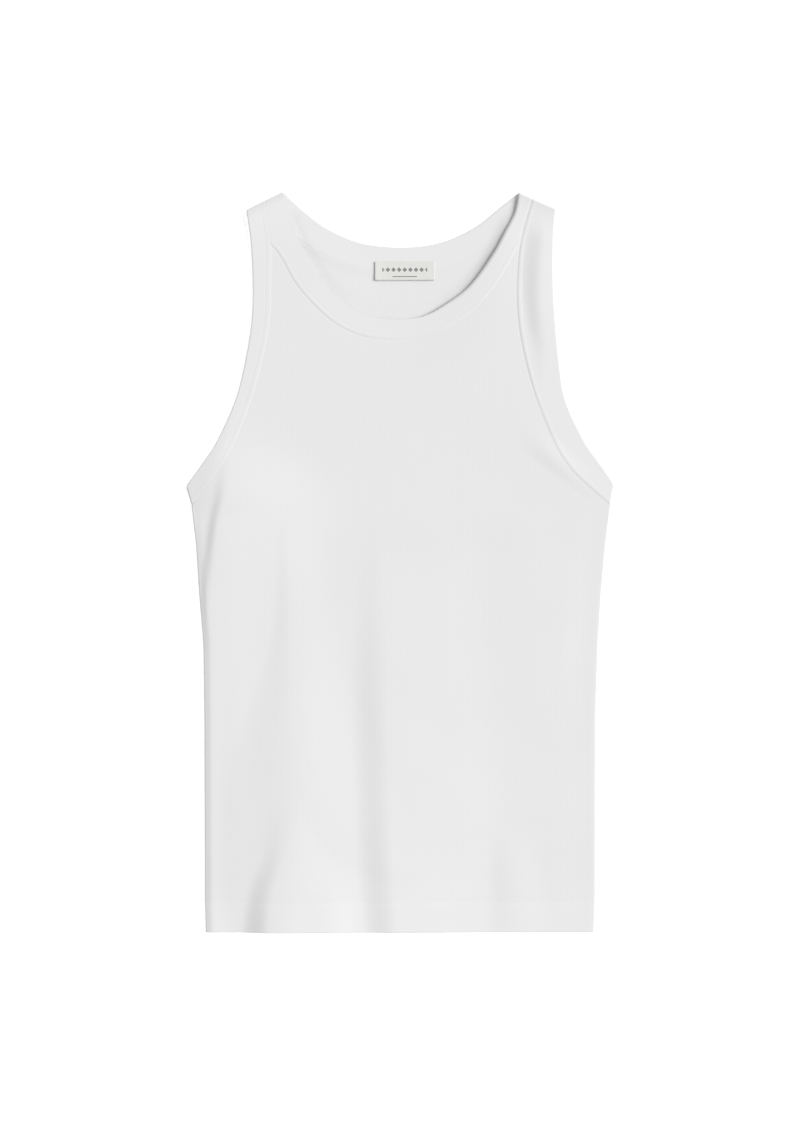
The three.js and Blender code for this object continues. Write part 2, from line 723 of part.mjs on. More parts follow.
function label() {
  const columns = shares([{ to: 0.2, count: 3 }, { to: 1, count: 4 }]);
  const rows = shares([{ to: 1, count: 3 }]);
  const plan = rows.map((up) => columns.map((across) => new THREE.Vector2(
    mix(LABEL.left, LABEL.right, across),
    mix(LABEL.low, LABEL.high, up),
  )));
  const underside = (x) => {
    const free = 1 - smooth(0, LABEL.endLength, x - LABEL.left);
    return BAND_WALL + SEAM_GAP + LABEL.endLift * free;
  };
  return wallOver(plan, underside, () => LABEL.wall);
}

function panel(face) {
  const underside = face === 'front' ? frontUnderside : () => 0;
  return wallOver(panelPlan(face), underside, (x, y) => panelWall(y));
}

function piece(name, geometry, colour = KNIT_WHITE) {
  const material = new THREE.MeshStandardMaterial({ color: colour, roughness: 0.95, metalness: 0 });
  const mesh = new THREE.Mesh(geometry.translate(-CENTRE.x, -CENTRE.y, 0), material);
  mesh.name = name;
  return mesh;
}

const tankTop = new THREE.Group();
tankTop.add(
  piece('front', panel('front')),
  piece('back', panel('back')),
  piece('neckband', neckband()),
  piece('armband_left', armband('left')),
  piece('armband_right', armband('right')),
  piece('label', label(), LABEL_WHITE),
);

export default tankTop;
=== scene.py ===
import math

import bpy
import numpy as np
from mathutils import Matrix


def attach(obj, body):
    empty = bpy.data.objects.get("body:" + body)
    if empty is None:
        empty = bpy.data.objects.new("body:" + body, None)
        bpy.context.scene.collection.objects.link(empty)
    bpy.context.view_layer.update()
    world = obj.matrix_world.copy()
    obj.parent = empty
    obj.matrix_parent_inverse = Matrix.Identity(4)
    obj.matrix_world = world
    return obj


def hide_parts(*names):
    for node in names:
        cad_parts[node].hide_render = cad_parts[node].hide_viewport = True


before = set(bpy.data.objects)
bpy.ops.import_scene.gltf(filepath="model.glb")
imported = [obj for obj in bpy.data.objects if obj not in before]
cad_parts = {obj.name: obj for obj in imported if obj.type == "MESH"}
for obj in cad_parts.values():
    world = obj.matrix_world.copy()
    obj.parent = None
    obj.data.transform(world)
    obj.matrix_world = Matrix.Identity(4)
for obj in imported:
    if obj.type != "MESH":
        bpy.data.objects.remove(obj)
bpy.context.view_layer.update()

# A white rib-knit tank top, laid flat on its back. Tables and heights are in millimetres in the
# frame's own axes; meshes are made in metres.
MM = 0.001

# The tables below count from the photograph's middle. The frame's origin lies this far from it,
# under the middle of the top.
CENTRE = (0.6, 0.4)

# Overall sizes
HEM_Y = -302.6
HEM_DEPTH = 22
PANEL_WALL = 1.2
BAND_WALL = 1.6
CAD_GAP = 0.3
SEAM_GAP = 0.03

# Ends of the shoulder folds, with the point between the neck and arm binding, and of the underarm folds
FOLDS_OVER = {
    "left": dict(neck=(-95.5, 304.1), join=(-110.3, 296.9), arm=(-125.5, 289.2)),
    "right": dict(neck=(98, 303.8), join=(108.9, 299), arm=(128, 290.6)),
}
UNDERARM = {
    "left": dict(tip=(-175, 62.3), seam=(-170.4, 47.3)),
    "right": dict(tip=(176.1, 62.3), seam=(173.1, 47.3)),
}

# Side seams: how far each lies from the middle, level by level from the hem up
SIDE_SEAMS = [
    dict(y=HEM_Y, left=158.7, right=159.7),
    dict(y=-276, left=159.4, right=160.7),
    dict(y=-129, left=159.9, right=161),
    dict(y=-67, left=160.7, right=163),
    dict(y=-26, left=164.1, right=165.5),
    dict(y=15, left=166.7, right=169.2),
    dict(y=47.3, left=170.4, right=173.1),
]

# Armholes: how far the edge and the binding's seam lie from the middle, from the strap down
ARMHOLES = [
    dict(y=265, left_edge=122.1, left_seam=105.8, right_edge=126.1, right_seam=99.4, back_seam=106),
    dict(y=232, left_edge=120.3, left_seam=105.3, right_edge=125.9, right_seam=96.1, back_seam=105.5),
    dict(y=199, left_edge=121.1, left_seam=106.4, right_edge=127.6, right_seam=97, back_seam=107),
    dict(y=166, left_edge=126.3, left_seam=112.6, right_edge=130.8, right_seam=102.9, back_seam=112),
    dict(y=134, left_edge=134.3, left_seam=121.4, right_edge=136, right_seam=112.1, back_seam=119.5),
    dict(y=101, left_edge=148.9, left_seam=134, right_edge=150.9, right_seam=125.9, back_seam=132.5),
    dict(y=84, left_edge=159.7, left_seam=142.8, right_edge=162.5, right_seam=135.5, back_seam=141.5),
    dict(y=69, left_edge=170.4, left_seam=153, right_edge=172.9, right_seam=148.4, back_seam=152),
]

# Front neckline from left to right, and how high the edge stands off the layer below
FRONT_NECK_EDGE = [
    dict(x=-91.6, y=288, lift=0.6),
    dict(x=-82.9, y=265.7, lift=1),
    dict(x=-71.2, y=245.2, lift=1.2),
    dict(x=-57.7, y=224.7, lift=1),
    dict(x=-38, y=208.3, lift=0.9),
    dict(x=-20, y=201.2, lift=0.8),
    dict(x=0, y=199.5, lift=0.8),
    dict(x=19, y=201.9, lift=1.1),
    dict(x=37, y=211.3, lift=1.9),
    dict(x=57.3, y=227, lift=2.8),
    dict(x=75.4, y=251.5, lift=3.4),
    dict(x=85.9, y=270.5, lift=3.2),
    dict(x=94.5, y=287.3, lift=1.9),
]

# Seam of the front neck binding, from one strap to the other
FRONT_NECK_SEAM = [
    (-96.5, 249), (-87.3, 232), (-75.9, 217.3), (-61.1, 202.5), (-44.3, 191.1), (-24, 184.4),
    (0, 182.9), (28.3, 187.8), (46, 196.4), (61.9, 207.5), (80.4, 229.6), (93.1, 250.9),
]

# Back neckline and the seam of its binding, from the middle out; both halves are alike
BACK_NECK = [
    dict(edge=(0, 258.8), seam=(0, 238.6)),
    dict(edge=(32.4, 262.4), seam=(36, 243)),
    dict(edge=(60.7, 274.7), seam=(69.6, 257.3)),
    dict(edge=(82, 291.1), seam=(92.5, 274.6)),
]

# Level at which the neck seam runs out against the arm binding, and its share along the neck edge
HORN_Y = {"front": 262, "back": 286}
HORN_ON_EDGE = {"front": (0.105, 0.89), "back": (0.12, 0.88)}

# Long folds that rise from the hem: where the crest lies, its height and the width of each flank
HEM_FOLDS = [
    [
        dict(y=HEM_Y, x=-86, height=2.7, left=60, right=96),
        dict(y=-240, x=-81, height=3.4, left=68, right=90),
        dict(y=-200, x=-80, height=3.6, left=68, right=84),
        dict(y=-150, x=-84.5, height=2.7, left=54, right=68),
        dict(y=-100, x=-87, height=1.4, left=32, right=52),
        dict(y=-50, x=-89.5, height=0.7, left=15, right=44),
        dict(y=0, x=-91.4, height=0.3, left=10, right=36),
        dict(y=40, x=-92, height=0, left=10, right=36),
    ],
    [
        dict(y=HEM_Y, x=-107, height=4.2, left=23, right=125),
        dict(y=-270, x=-103.5, height=3, left=22, right=110),
        dict(y=-240, x=-95, height=1.2, left=19, right=44),
        dict(y=-215, x=-91, height=0.5, left=22, right=24),
        dict(y=-190, x=-88, height=0, left=22, right=24),
    ],
    [
        dict(y=HEM_Y, x=-2.5, height=3.5, left=28, right=90),
        dict(y=-250, x=-5, height=3.2, left=30, right=95),
        dict(y=-186, x=-8, height=2.8, left=30, right=95),
        dict(y=-120, x=-10.5, height=2.0, left=29, right=92),
        dict(y=-70, x=-11.5, height=1.5, left=28, right=88),
        dict(y=-35, x=-12, height=0.9, left=26, right=80),
        dict(y=0, x=-12.5, height=0.35, left=24, right=70),
        dict(y=30, x=-13, height=0, left=24, right=70),
    ],
    [
        dict(y=HEM_Y, x=93, height=0.5, left=22, right=34),
        dict(y=-262, x=92, height=0.75, left=21, right=30),
        dict(y=-240, x=90, height=0.5, left=18, right=26),
        dict(y=-215, x=88, height=0, left=18, right=26),
    ],
    [
        dict(y=HEM_Y, x=-55, height=0.55, left=26, right=20),
        dict(y=-280, x=-55, height=0.45, left=26, right=20),
        dict(y=-262, x=-55, height=0, left=26, right=20),
    ],
]

# Soft fold that runs at a slant, from the right underarm towards the chest: ends of the crest, its bow
# to the right, heights at the low end, in the middle and at the high end, and the width of each flank
# at the low and at the high end
SOFT_FOLDS = [
    dict(low=(156, 62), high=(96, 110), bow=0, heights=(0.3, 0.8, 0), left=(11, 13), right=(16, 16)),
]
FOLD_END = 20

# Folds beside the armholes, level by level as those from the hem: down the right strap, at the left
# underarm from the edge to the seam, and down from the left underarm
ARM_FOLDS = [
    [
        dict(y=140, x=121, height=0, left=11, right=40),
        dict(y=174, x=118.9, height=0.7, left=12, right=40),
        dict(y=199, x=116.4, height=1.9, left=14, right=60),
        dict(y=223, x=115.5, height=2.4, left=16, right=60),
        dict(y=246, x=117, height=2.6, left=18, right=60),
        dict(y=264, x=119, height=2.2, left=18, right=60),
        dict(y=290, x=119, height=0.9, left=18, right=60),
    ],
    [
        dict(y=40, x=-150, height=1, left=27, right=95),
        dict(y=62, x=-150, height=2.2, left=29, right=95),
        dict(y=76, x=-148, height=2, left=25, right=90),
        dict(y=100, x=-141, height=0.6, left=14, right=70),
        dict(y=130, x=-130, height=0, left=8, right=60),
    ],
    [
        dict(y=-90, x=-162, height=0, left=9, right=80),
        dict(y=-70, x=-160, height=0.15, left=9, right=80),
        dict(y=-28, x=-156, height=0.9, left=9, right=90),
        dict(y=14, x=-151.5, height=2, left=8.5, right=110),
        dict(y=36, x=-148.5, height=1.9, left=8, right=110),
        dict(y=52, x=-144.5, height=1.7, left=9, right=100),
        dict(y=66, x=-142, height=1, left=10, right=90),
        dict(y=80, x=-139, height=0.4, left=11, right=80),
        dict(y=96, x=-136, height=0, left=11, right=80),
    ],
]

# The back has its own shallow creases, and follows the front's folds from the hem in part
BACK_CREASES = [
    dict(low=(78, -250), high=(52, -40), bow=7, heights=(0, 0.22, 0), left=(12, 14), right=(16, 14)),
    dict(low=(136, -200), high=(92, 6), bow=5, heights=(0, 0.2, 0), left=(12, 12), right=(10, 12)),
    dict(low=(-143, -140), high=(-92, 20), bow=4, heights=(0, 0.2, 0), left=(10, 11), right=(13, 11)),
    dict(low=(-34, -70), high=(18, 60), bow=-6, heights=(0, 0.2, 0), left=(11, 10), right=(9, 11)),
]
BACK_FOLLOWS = 0.3

# The back swells a little beside the left edge of the neck opening, and under its right edge. Both
# swellings rise and fall between these distances from the edge, and fade between these levels.
NECK_SWELLS = dict(
    left=dict(height=0.55, across=(0, 9, 9, 50), levels=(206, 226, 282, 296)),
    right=dict(height=1.4, across=(-10, 1, 6, 32), levels=(204, 222, 276, 296)),
)
SIDE_PUFF = dict(left=0.3, right=0.15, inset=4, fades=(5, 45))

# The left shoulder bulges just below its fold, and the right one rises all the way up to it
SHOULDER_BULGE = dict(height=2.4, inset=6)
SHOULDER_CLIMB = dict(height=1.6, reach=9)
NECK_LIFT_REACH = 140
STRAP_CALM = (262, 290)
OUTLINE_CALM = 6
HEM_SETTLE = 20
YOKE_SETTLE = (5, 40)
STITCH_STEP = 2.5

# Length of the rows that bend from the underarm to the neck seam, and how far their corners stand in
YOKE_LENGTH = 135
HORN_STEP = 0.7

LABEL = dict(left=-20.1, right=28.7, low=231.6, high=246.8, wall=0.6, end_lift=0.35, end_length=9)

# Fine steps in from a rounded edge, and the number of steps between two edges
EDGE_STEPS = (0, 0.07, 0.22, 0.45, 0.8, 1.3, 1.9, 2.7, 3.7, 5, 6.6, 8.6, 11)

# Rounding of the hem's and the bindings' edges, and the reach and depth of the grooves at the seams
HEM_NOSE = 0.8
SEAM_REACH = dict(panel=1.2, band=1.7)
PANEL_GROOVE = dict(front=0.1, back=0.03, left=0.02, right=0.03)
BAND_NOSE = dict(arm=1.1, left=0.05, right=2.2)

# Share of the front's rise that a binding loses again towards its outer edge, close to it and from
# further in
TUCK = 0.2
TUCK_REACH = 2
LONG_TUCK = 0.05
LONG_TUCK_REACH = 16

# At the side seams the layers roll in over this length, down from the front and up from the back
SIDE_ROLL = 0.9
SIDE_LEVEL = dict(front=0.15, back=0.1)

# Stitching: twin needle rows above the hem's edge, and one row on each binding, off its seam
HEM_ROWS = (HEM_Y + HEM_DEPTH, HEM_Y + HEM_DEPTH + 4)
BINDING_ROW = 4.2
ROW_GROOVE = dict(depth=0.09, reach=0.4)
STITCH = dict(pitch=3.1, length=2.5, radius=0.17, tip=0.03, sag=0.9, flatness=0.8)

# Width of the seam allowance that lies under the back panel along its neck seam
ALLOWANCE = 9

# Seam allowance under a binding, seen as a slightly raised strip along its seam
STRIP = dict(width=4.8, edge=0.6, left=0.03, right=0.06, neck=0.03)


def mix(a, b, share):
    return a + (b - a) * share


def smooth(low, high, value):
    share = np.clip((value - low) / (high - low), 0, 1)
    return share * share * (3 - 2 * share)


def nose(distance, length):
    """Share of the wall's full thickness at a distance in from a rounded edge."""
    share = np.clip(distance / length, 0, 1)
    return np.sqrt(1 - (1 - share) ** 2)


class Curve:
    """Smooth plane curve through points, read by the share of its length."""

    STEPS = 60

    def __init__(self, points):
        points = np.asarray(points, float)
        ends = len(points) - 1
        pieces = []
        for index in range(ends):
            start, stop = points[index], points[index + 1]
            leave = (stop - points[max(index - 1, 0)]) / 2
            arrive = (points[min(index + 2, ends)] - start) / 2
            last = index == ends - 1
            t = np.linspace(0, 1, self.STEPS + 1)[: None if last else -1, None]
            cubic = 2 * start - 2 * stop + leave + arrive
            square = -3 * start + 3 * stop - 2 * leave - arrive
            pieces.append(cubic * t**3 + square * t**2 + leave * t + start)
        self.points = np.vstack(pieces)
        steps = np.linalg.norm(np.diff(self.points, axis=0), axis=1)
        self.lengths = np.concatenate([[0], np.cumsum(steps)])
        self.length = self.lengths[-1]

    def at(self, share):
        place = np.asarray(share) * self.length
        return np.stack([np.interp(place, self.lengths, self.points[:, axis]) for axis in (0, 1)], -1)

    def along(self, share):
        step = 0.5 / self.length
        share = np.asarray(share, float)
        way = self.at(np.clip(share + step, 0, 1)) - self.at(np.clip(share - step, 0, 1))
        return way / np.linalg.norm(way, axis=-1, keepdims=True)

    def beside(self, share, distance):
        """Point moved to the left of the running direction when the distance is positive."""
        way = self.along(share)
        return self.at(share) + np.stack([-way[..., 1], way[..., 0]], -1) * distance

    def share_at_level(self, y):
        return float(np.interp(-y, -self.points[:, 1], self.lengths) / self.length)


def armhole_curves(side):
    sign = -1 if side == "left" else 1
    shoulder, underarm = FOLDS_OVER[side], UNDERARM[side]

    def through(column, first, last):
        return Curve([first, *((sign * row[column], row["y"]) for row in ARMHOLES), last])

    return dict(
        edge=through(side + "_edge", shoulder["arm"], underarm["tip"]),
        front=through(side + "_seam", shoulder["join"], underarm["seam"]),
        back=through("back_seam", shoulder["join"], underarm["seam"]),
    )


ARM = {side: armhole_curves(side) for side in ("left", "right")}


def towards_arm(side):
    return -SEAM_GAP / 2 if side == "left" else SEAM_GAP / 2


def horn_share(side, face):
    return ARM[side][face].share_at_level(HORN_Y[face])


def horn_point(side, face):
    return ARM[side][face].beside(horn_share(side, face), -towards_arm(side))


def mirrored(column):
    half = [row[column] for row in BACK_NECK]
    return [(-x, y) for x, y in half[:0:-1]] + half


def neck_curves():
    left, right = FOLDS_OVER["left"]["neck"], FOLDS_OVER["right"]["neck"]
    front_edge = [(row["x"], row["y"]) for row in FRONT_NECK_EDGE]
    horns = {face: (horn_point("left", face), horn_point("right", face)) for face in ("front", "back")}
    return dict(
        front_edge=Curve([left, *front_edge, right]),
        back_edge=Curve([left, *mirrored("edge"), right]),
        front=Curve([horns["front"][0], *FRONT_NECK_SEAM, horns["front"][1]]),
        back=Curve([horns["back"][0], *mirrored("seam"), horns["back"][1]]),
    )


NECK = neck_curves()


def at_level(column, y):
    return np.interp(y, [row["y"] for row in SIDE_SEAMS], [row[column] for row in SIDE_SEAMS])


def level_by_level(rows, column, y):
    """Value of a table at each level, eased between its rows."""
    levels = np.array([row["y"] for row in rows], float)
    values = np.array([row[column] for row in rows], float)
    index = np.clip(np.searchsorted(levels, y) - 1, 0, len(levels) - 2)
    share = np.clip((y - levels[index]) / (levels[index + 1] - levels[index]), 0, 1)
    slopes = np.gradient(values, levels)
    step = levels[index + 1] - levels[index]
    leave, arrive = slopes[index] * step, slopes[index + 1] * step
    low, high = values[index], values[index + 1]
    cubic = 2 * low - 2 * high + leave + arrive
    square = -3 * low + 3 * high - 2 * leave - arrive
    return cubic * share**3 + square * share**2 + leave * share + low


def hem_fold(rows, x, y):
    rightward = x - level_by_level(rows, "x", y)
    left, right = level_by_level(rows, "left", y), level_by_level(rows, "right", y)
    across = np.clip(np.abs(rightward) / np.where(rightward < 0, left, right), 0, 1)
    height = np.maximum(0, level_by_level(rows, "height", y)) * (y < rows[-1]["y"])
    return height * np.cos(across * np.pi / 2) ** 2


def soft_fold(fold, x, y):
    low, high = np.array(fold["low"], float), np.array(fold["high"], float)
    length = np.linalg.norm(high - low)
    along = (high - low) / length
    share = ((x - low[0]) * along[0] + (y - low[1]) * along[1]) / length
    inside = np.clip(share, 0, 1)
    bow = fold["bow"] * 4 * inside * (1 - inside)
    rightward = (x - low[0]) * along[1] - (y - low[1]) * along[0] - bow
    flank = np.where(rightward < 0, mix(*fold["left"], inside), mix(*fold["right"], inside))
    across = np.clip(np.abs(rightward) / flank, 0, 1)
    first, middle, last = fold["heights"]
    height = np.where(
        inside < 0.5,
        mix(first, middle, smooth(0, 0.5, inside)),
        mix(middle, last, smooth(0.5, 1, inside)),
    )
    past_end = np.maximum(0, np.maximum(-share, share - 1)) * length
    return height * (1 - smooth(0, FOLD_END, past_end)) * np.cos(across * np.pi / 2) ** 2


NECK_SAMPLES = 60
NECK_BLEND = 60


def neck_samples():
    """Points of the front neck edge with the lift of the edge at each."""
    lifts = [0, *(row["lift"] for row in FRONT_NECK_EDGE), 0]
    per_segment = Curve.STEPS
    place = np.linspace(0, 1, NECK_SAMPLES + 1) * (len(lifts) - 1)
    points = NECK["front_edge"].points
    nodes = np.arange(len(points)) / per_segment
    x = np.interp(place, nodes, points[:, 0])
    y = np.interp(place, nodes, points[:, 1])
    return x, y, np.interp(place, np.arange(len(lifts)), lifts)


SAMPLE_X, SAMPLE_Y, SAMPLE_LIFT = neck_samples()


def neck_lift(x, y):
    weights, lifts, nearest = 0, 0, np.inf
    for sample_x, sample_y, lift in zip(SAMPLE_X, SAMPLE_Y, SAMPLE_LIFT):
        squared = (x - sample_x) ** 2 + (y - sample_y) ** 2
        weight = 1 / (squared + NECK_BLEND) ** 2
        weights = weights + weight
        lifts = lifts + weight * lift
        nearest = np.minimum(nearest, squared)
    return lifts / weights * (1 - smooth(0, NECK_LIFT_REACH, np.sqrt(nearest)))


def side_puff(x, y):
    def puff(height, from_edge):
        share = np.maximum(0, from_edge) / SIDE_PUFF["inset"]
        return height * share * np.exp(1 - share)

    left = puff(SIDE_PUFF["left"], x + at_level("left", y))
    right = puff(SIDE_PUFF["right"], at_level("right", y) - x)
    return (1 - smooth(*SIDE_PUFF["fades"], y)) * (left + right)


def outward_of(start, stop):
    along = (stop - start) / np.linalg.norm(stop - start)
    side = np.array([-along[1], along[0]])
    return side if side @ (start + stop) > 0 else -side


def below_shoulder(side, x, y):
    """Distance from the fold over a shoulder."""
    neck, arm = (np.array(FOLDS_OVER[side][name], float) for name in ("neck", "arm"))
    outward = outward_of(neck, arm)
    return np.maximum(0, (neck[0] - x) * outward[0] + (neck[1] - y) * outward[1])


def shoulder_rise(x, y):
    share = below_shoulder("left", x, y) / SHOULDER_BULGE["inset"]
    bulge = SHOULDER_BULGE["height"] * share * np.exp(1 - share)
    climb = SHOULDER_CLIMB["height"] * np.exp(-below_shoulder("right", x, y) / SHOULDER_CLIMB["reach"])
    return bulge + climb


def loose(x, y):
    """The folds die out towards the shoulders and the outline."""
    at_side = np.where(x < 0, at_level("left", y), at_level("right", y))
    widest = np.where(y > UNDERARM["left"]["seam"][1], UNDERARM["right"]["tip"][0], at_side)
    return (1 - smooth(*STRAP_CALM, y)) * smooth(0, OUTLINE_CALM, widest - np.abs(x))


def neck_swells(x, y):
    half = len(FRONT_NECK_EDGE) // 2
    total = 0
    for side, rows in (("left", FRONT_NECK_EDGE[half::-1]), ("right", FRONT_NECK_EDGE[half:])):
        swell = NECK_SWELLS[side]
        past_edge = x - np.interp(y, [row["y"] for row in rows], [row["x"] for row in rows])
        start, full, fading, gone = swell["across"]
        across = smooth(start, full, past_edge) * (1 - smooth(fading, gone, past_edge))
        low, whole, waning, high = swell["levels"]
        levels = smooth(low, whole, y) * (1 - smooth(waning, high, y))
        total = total + swell["height"] * across * levels
    return total


def back_rise(x, y):
    """Rise of the back layer off the floor in its creases."""
    creases = sum(soft_fold(crease, x, y) for crease in BACK_CREASES)
    folds = sum(hem_fold(rows, x, y) for rows in HEM_FOLDS)
    return (creases + BACK_FOLLOWS * folds) * loose(x, y) + neck_swells(x, y)


def rise(x, y):
    """Rise of the front layer above its rest."""
    folds = sum(soft_fold(fold, x, y) for fold in SOFT_FOLDS)
    folds = folds + sum(hem_fold(rows, x, y) for rows in HEM_FOLDS + ARM_FOLDS)
    return folds * loose(x, y) + neck_lift(x, y) + side_puff(x, y) + shoulder_rise(x, y)


HEM_TOP = HEM_Y + HEM_DEPTH


def panel_wall(y):
    return mix(BAND_WALL, PANEL_WALL, smooth(HEM_TOP, HEM_TOP + STITCH_STEP, y))


def seam_groove(distance, depth, reach):
    """Depth to which a seam pulls the cloth down, at a distance from it."""
    return depth * (1 - smooth(0, reach, distance))


def row_groove(distance):
    """Depth to which a row of stitches pulls the cloth down, at a distance from the row."""
    return ROW_GROOVE["depth"] * np.exp(-((distance / ROW_GROOVE["reach"]) ** 2))


def front_underside(x, y):
    on_hem = BAND_WALL + CAD_GAP
    on_body = PANEL_WALL + CAD_GAP
    at_bindings = BAND_WALL + CAD_GAP + (BAND_WALL - PANEL_WALL) / 2
    lower = mix(on_hem, on_body, smooth(HEM_TOP + STITCH_STEP, HEM_TOP + HEM_SETTLE, y))
    return mix(lower, at_bindings, smooth(*YOKE_SETTLE, y)) + rise(x, y)


def between_edges(length, middle):
    """Shares of a length with fine steps at both ends and even steps between them."""
    steps = np.array(EDGE_STEPS) / length
    even = np.linspace(steps[-1], 1 - steps[-1], middle + 1)
    return np.concatenate([steps[:-1], even, 1 - steps[-2::-1]])


def panel_levels(body_rows):
    """Levels of a panel's straight rows, fine at the hem's edge and at its stitching."""
    side_top = UNDERARM["left"]["seam"][1] - CAD_GAP
    hem_edge = HEM_Y + np.array(EDGE_STEPS[:8])
    hem = np.linspace(hem_edge[-1], HEM_TOP - 3, 8)[1:]
    stitching = np.arange(HEM_TOP - 2.4, HEM_TOP + 6, 0.6)
    body = np.linspace(stitching[-1], side_top, body_rows + 1)[1:]
    return np.concatenate([hem_edge, hem, stitching, body])


def panel_plan(face, columns, body_rows, yoke_rows):
    """Straight rows up to the underarm, then rows that bend towards the neck seam."""
    levels = panel_levels(body_rows)
    x = mix(-at_level("left", levels)[:, None], at_level("right", levels)[:, None], columns)
    straight = np.stack([x, np.repeat(levels[:, None], len(columns), 1)], -1)

    seam = NECK[face]
    tops = seam.beside(columns, -SEAM_GAP / 2)
    for side, at, sign in (("left", 0, 1), ("right", -1, -1)):
        down_arm = ARM[side][face].along(horn_share(side, face))
        down_neck = seam.along(columns[at]) * sign
        between = (down_arm + down_neck) / np.linalg.norm(down_arm + down_neck)
        tops[at] = horn_point(side, face) + between * HORN_STEP

    steps = np.array(EDGE_STEPS) / YOKE_LENGTH
    up = np.concatenate([np.linspace(0, 1 - steps[-1], yoke_rows + 1)[1:], 1 - steps[-2::-1]])
    sides = {
        side: ARM[side][face].beside(mix(1, horn_share(side, face), up), -towards_arm(side))
        for side in ("left", "right")
    }
    sides["left"][-1] = tops[0]
    sides["right"][-1] = tops[-1]
    bottom = straight[-1]
    up = up[:, None, None]
    across = columns[None, :, None]
    between = mix(bottom[None], tops[None], up)
    sides_mix = mix(sides["left"][:, None], sides["right"][:, None], across)
    low_corners = mix(bottom[0], bottom[-1], across)
    high_corners = mix(tops[0], tops[-1], across)
    bent = between + sides_mix - mix(low_corners, high_corners, up)
    return np.concatenate([straight, bent]), len(straight)


def placed(vertices):
    """Vertices of the tables' frame, in the part's frame and in metres."""
    return (vertices - np.array([*CENTRE, 0])) * MM


def mesh_object(name, vertices, faces, uvs=None):
    """Mesh from vertices in millimetres; uvs gives one pair, in millimetres, for each face corner."""
    mesh = bpy.data.meshes.new(name)
    mesh.from_pydata(placed(vertices).tolist(), [], faces.tolist())
    mesh.polygons.foreach_set("use_smooth", np.ones(len(mesh.polygons), bool))
    if uvs is not None:
        layer = mesh.uv_layers.new(name="cloth")
        layer.data.foreach_set("uv", (uvs * MM).astype(np.float32).ravel())
    mesh.validate()
    mesh.update()
    thing = bpy.data.objects.new(name, mesh)
    bpy.context.scene.collection.objects.link(thing)
    return thing


def facing_out(vertices, faces):
    corners = vertices[faces]
    crossed = np.cross(corners[:, 1] - corners[:, 0], corners[:, 2] - corners[:, 0])
    other = np.cross(corners[:, 2] - corners[:, 0], corners[:, 3] - corners[:, 0])
    volume = (corners[:, 0] * (crossed + other)).sum()
    return faces if volume > 0 else faces[:, ::-1]


def wall_faces(rows, columns):
    """Quads of a closed wall: upper grid, lower grid, and the rim that joins them."""
    index = np.arange(rows * columns).reshape(rows, columns)
    upper = np.stack([index[:-1, :-1], index[:-1, 1:], index[1:, 1:], index[1:, :-1]], -1).reshape(-1, 4)
    under = rows * columns
    lower = upper[:, ::-1] + under
    rim = np.concatenate([index[0], index[1:, -1], index[-1, -2::-1], index[-2:0:-1, 0]])
    after = np.roll(rim, -1)
    side = np.stack([rim, rim + under, after + under, after], -1)
    return np.concatenate([upper, lower, side])


def panel(face, columns, body_rows, yoke_rows):
    plan, straight = panel_plan(face, columns, body_rows, yoke_rows)
    x, y = plan[..., 0], plan[..., 1]
    rows = np.arange(len(plan))[:, None]
    to_left = np.linalg.norm(plan - plan[:, :1], axis=-1)
    to_right = np.linalg.norm(plan - plan[:, -1:], axis=-1)
    to_top = np.linalg.norm(plan - plan[-1:], axis=-1)
    to_hem = y - HEM_Y
    in_body = rows < straight
    to_side = np.minimum(to_left, to_right)
    roll = nose(to_side, SIDE_ROLL)
    reach = SEAM_REACH["panel"]
    seams = seam_groove(to_top, PANEL_GROOVE[face], reach)
    for to_arm, side in ((to_left, "left"), (to_right, "right")):
        depth = PANEL_GROOVE[side if face == "front" else "back"]
        seams = seams + seam_groove(to_arm, depth, reach) * ~in_body
    wall = panel_wall(y)
    groove = sum(row_groove(y - level) for level in HEM_ROWS)
    if face == "front":
        under = front_underside(x, y) + cloth_waves(x, y)
        top = under + wall - groove - seams
        side_level = under - SIDE_LEVEL["front"]
    else:
        under = back_rise(x, y) + groove
        thicker = (BAND_WALL - PANEL_WALL) * (1 - smooth(0, ALLOWANCE, to_top)) * ~in_body
        top = under + wall + thicker - groove - seams
        side_level = top + SIDE_LEVEL["back"]
    # At the side seams the two layers round towards each other; at other edges the wall just rounds off
    if face == "front":
        rolled_top = np.where(in_body, mix(side_level, top, roll), top)
        rolled_under = under
    else:
        rolled_top = top
        rolled_under = np.where(in_body, mix(side_level, under, roll), under)
    middle = (rolled_top + rolled_under) / 2
    half = (rolled_top - rolled_under) / 2 * nose(to_hem, HEM_NOSE)
    upper = np.stack([x, y, middle + half], -1).reshape(-1, 3)
    lower = np.stack([x, y, middle - half], -1).reshape(-1, 3)
    vertices = np.concatenate([upper, lower])
    faces = facing_out(vertices, wall_faces(*x.shape))
    return mesh_object(face + "_panel", vertices, faces, vertices[faces.ravel(), :2])


# Slight unevenness of the loose cloth, from a few long waves: turns along x and y, phase and height.
# They grow from the hem up, fade from the middle up, and grow inwards from the sides.
CLOTH_WAVES = [
    dict(x=0.061, y=0.013, phase=0.4, height=0.10),
    dict(x=0.037, y=-0.021, phase=2.1, height=0.12),
    dict(x=0.098, y=0.006, phase=4.0, height=0.06),
    dict(x=-0.023, y=0.045, phase=1.2, height=0.08),
]
WAVES_LIE = dict(above_hem=(0, 30), fade=(0, 60), from_side=(2, 30))


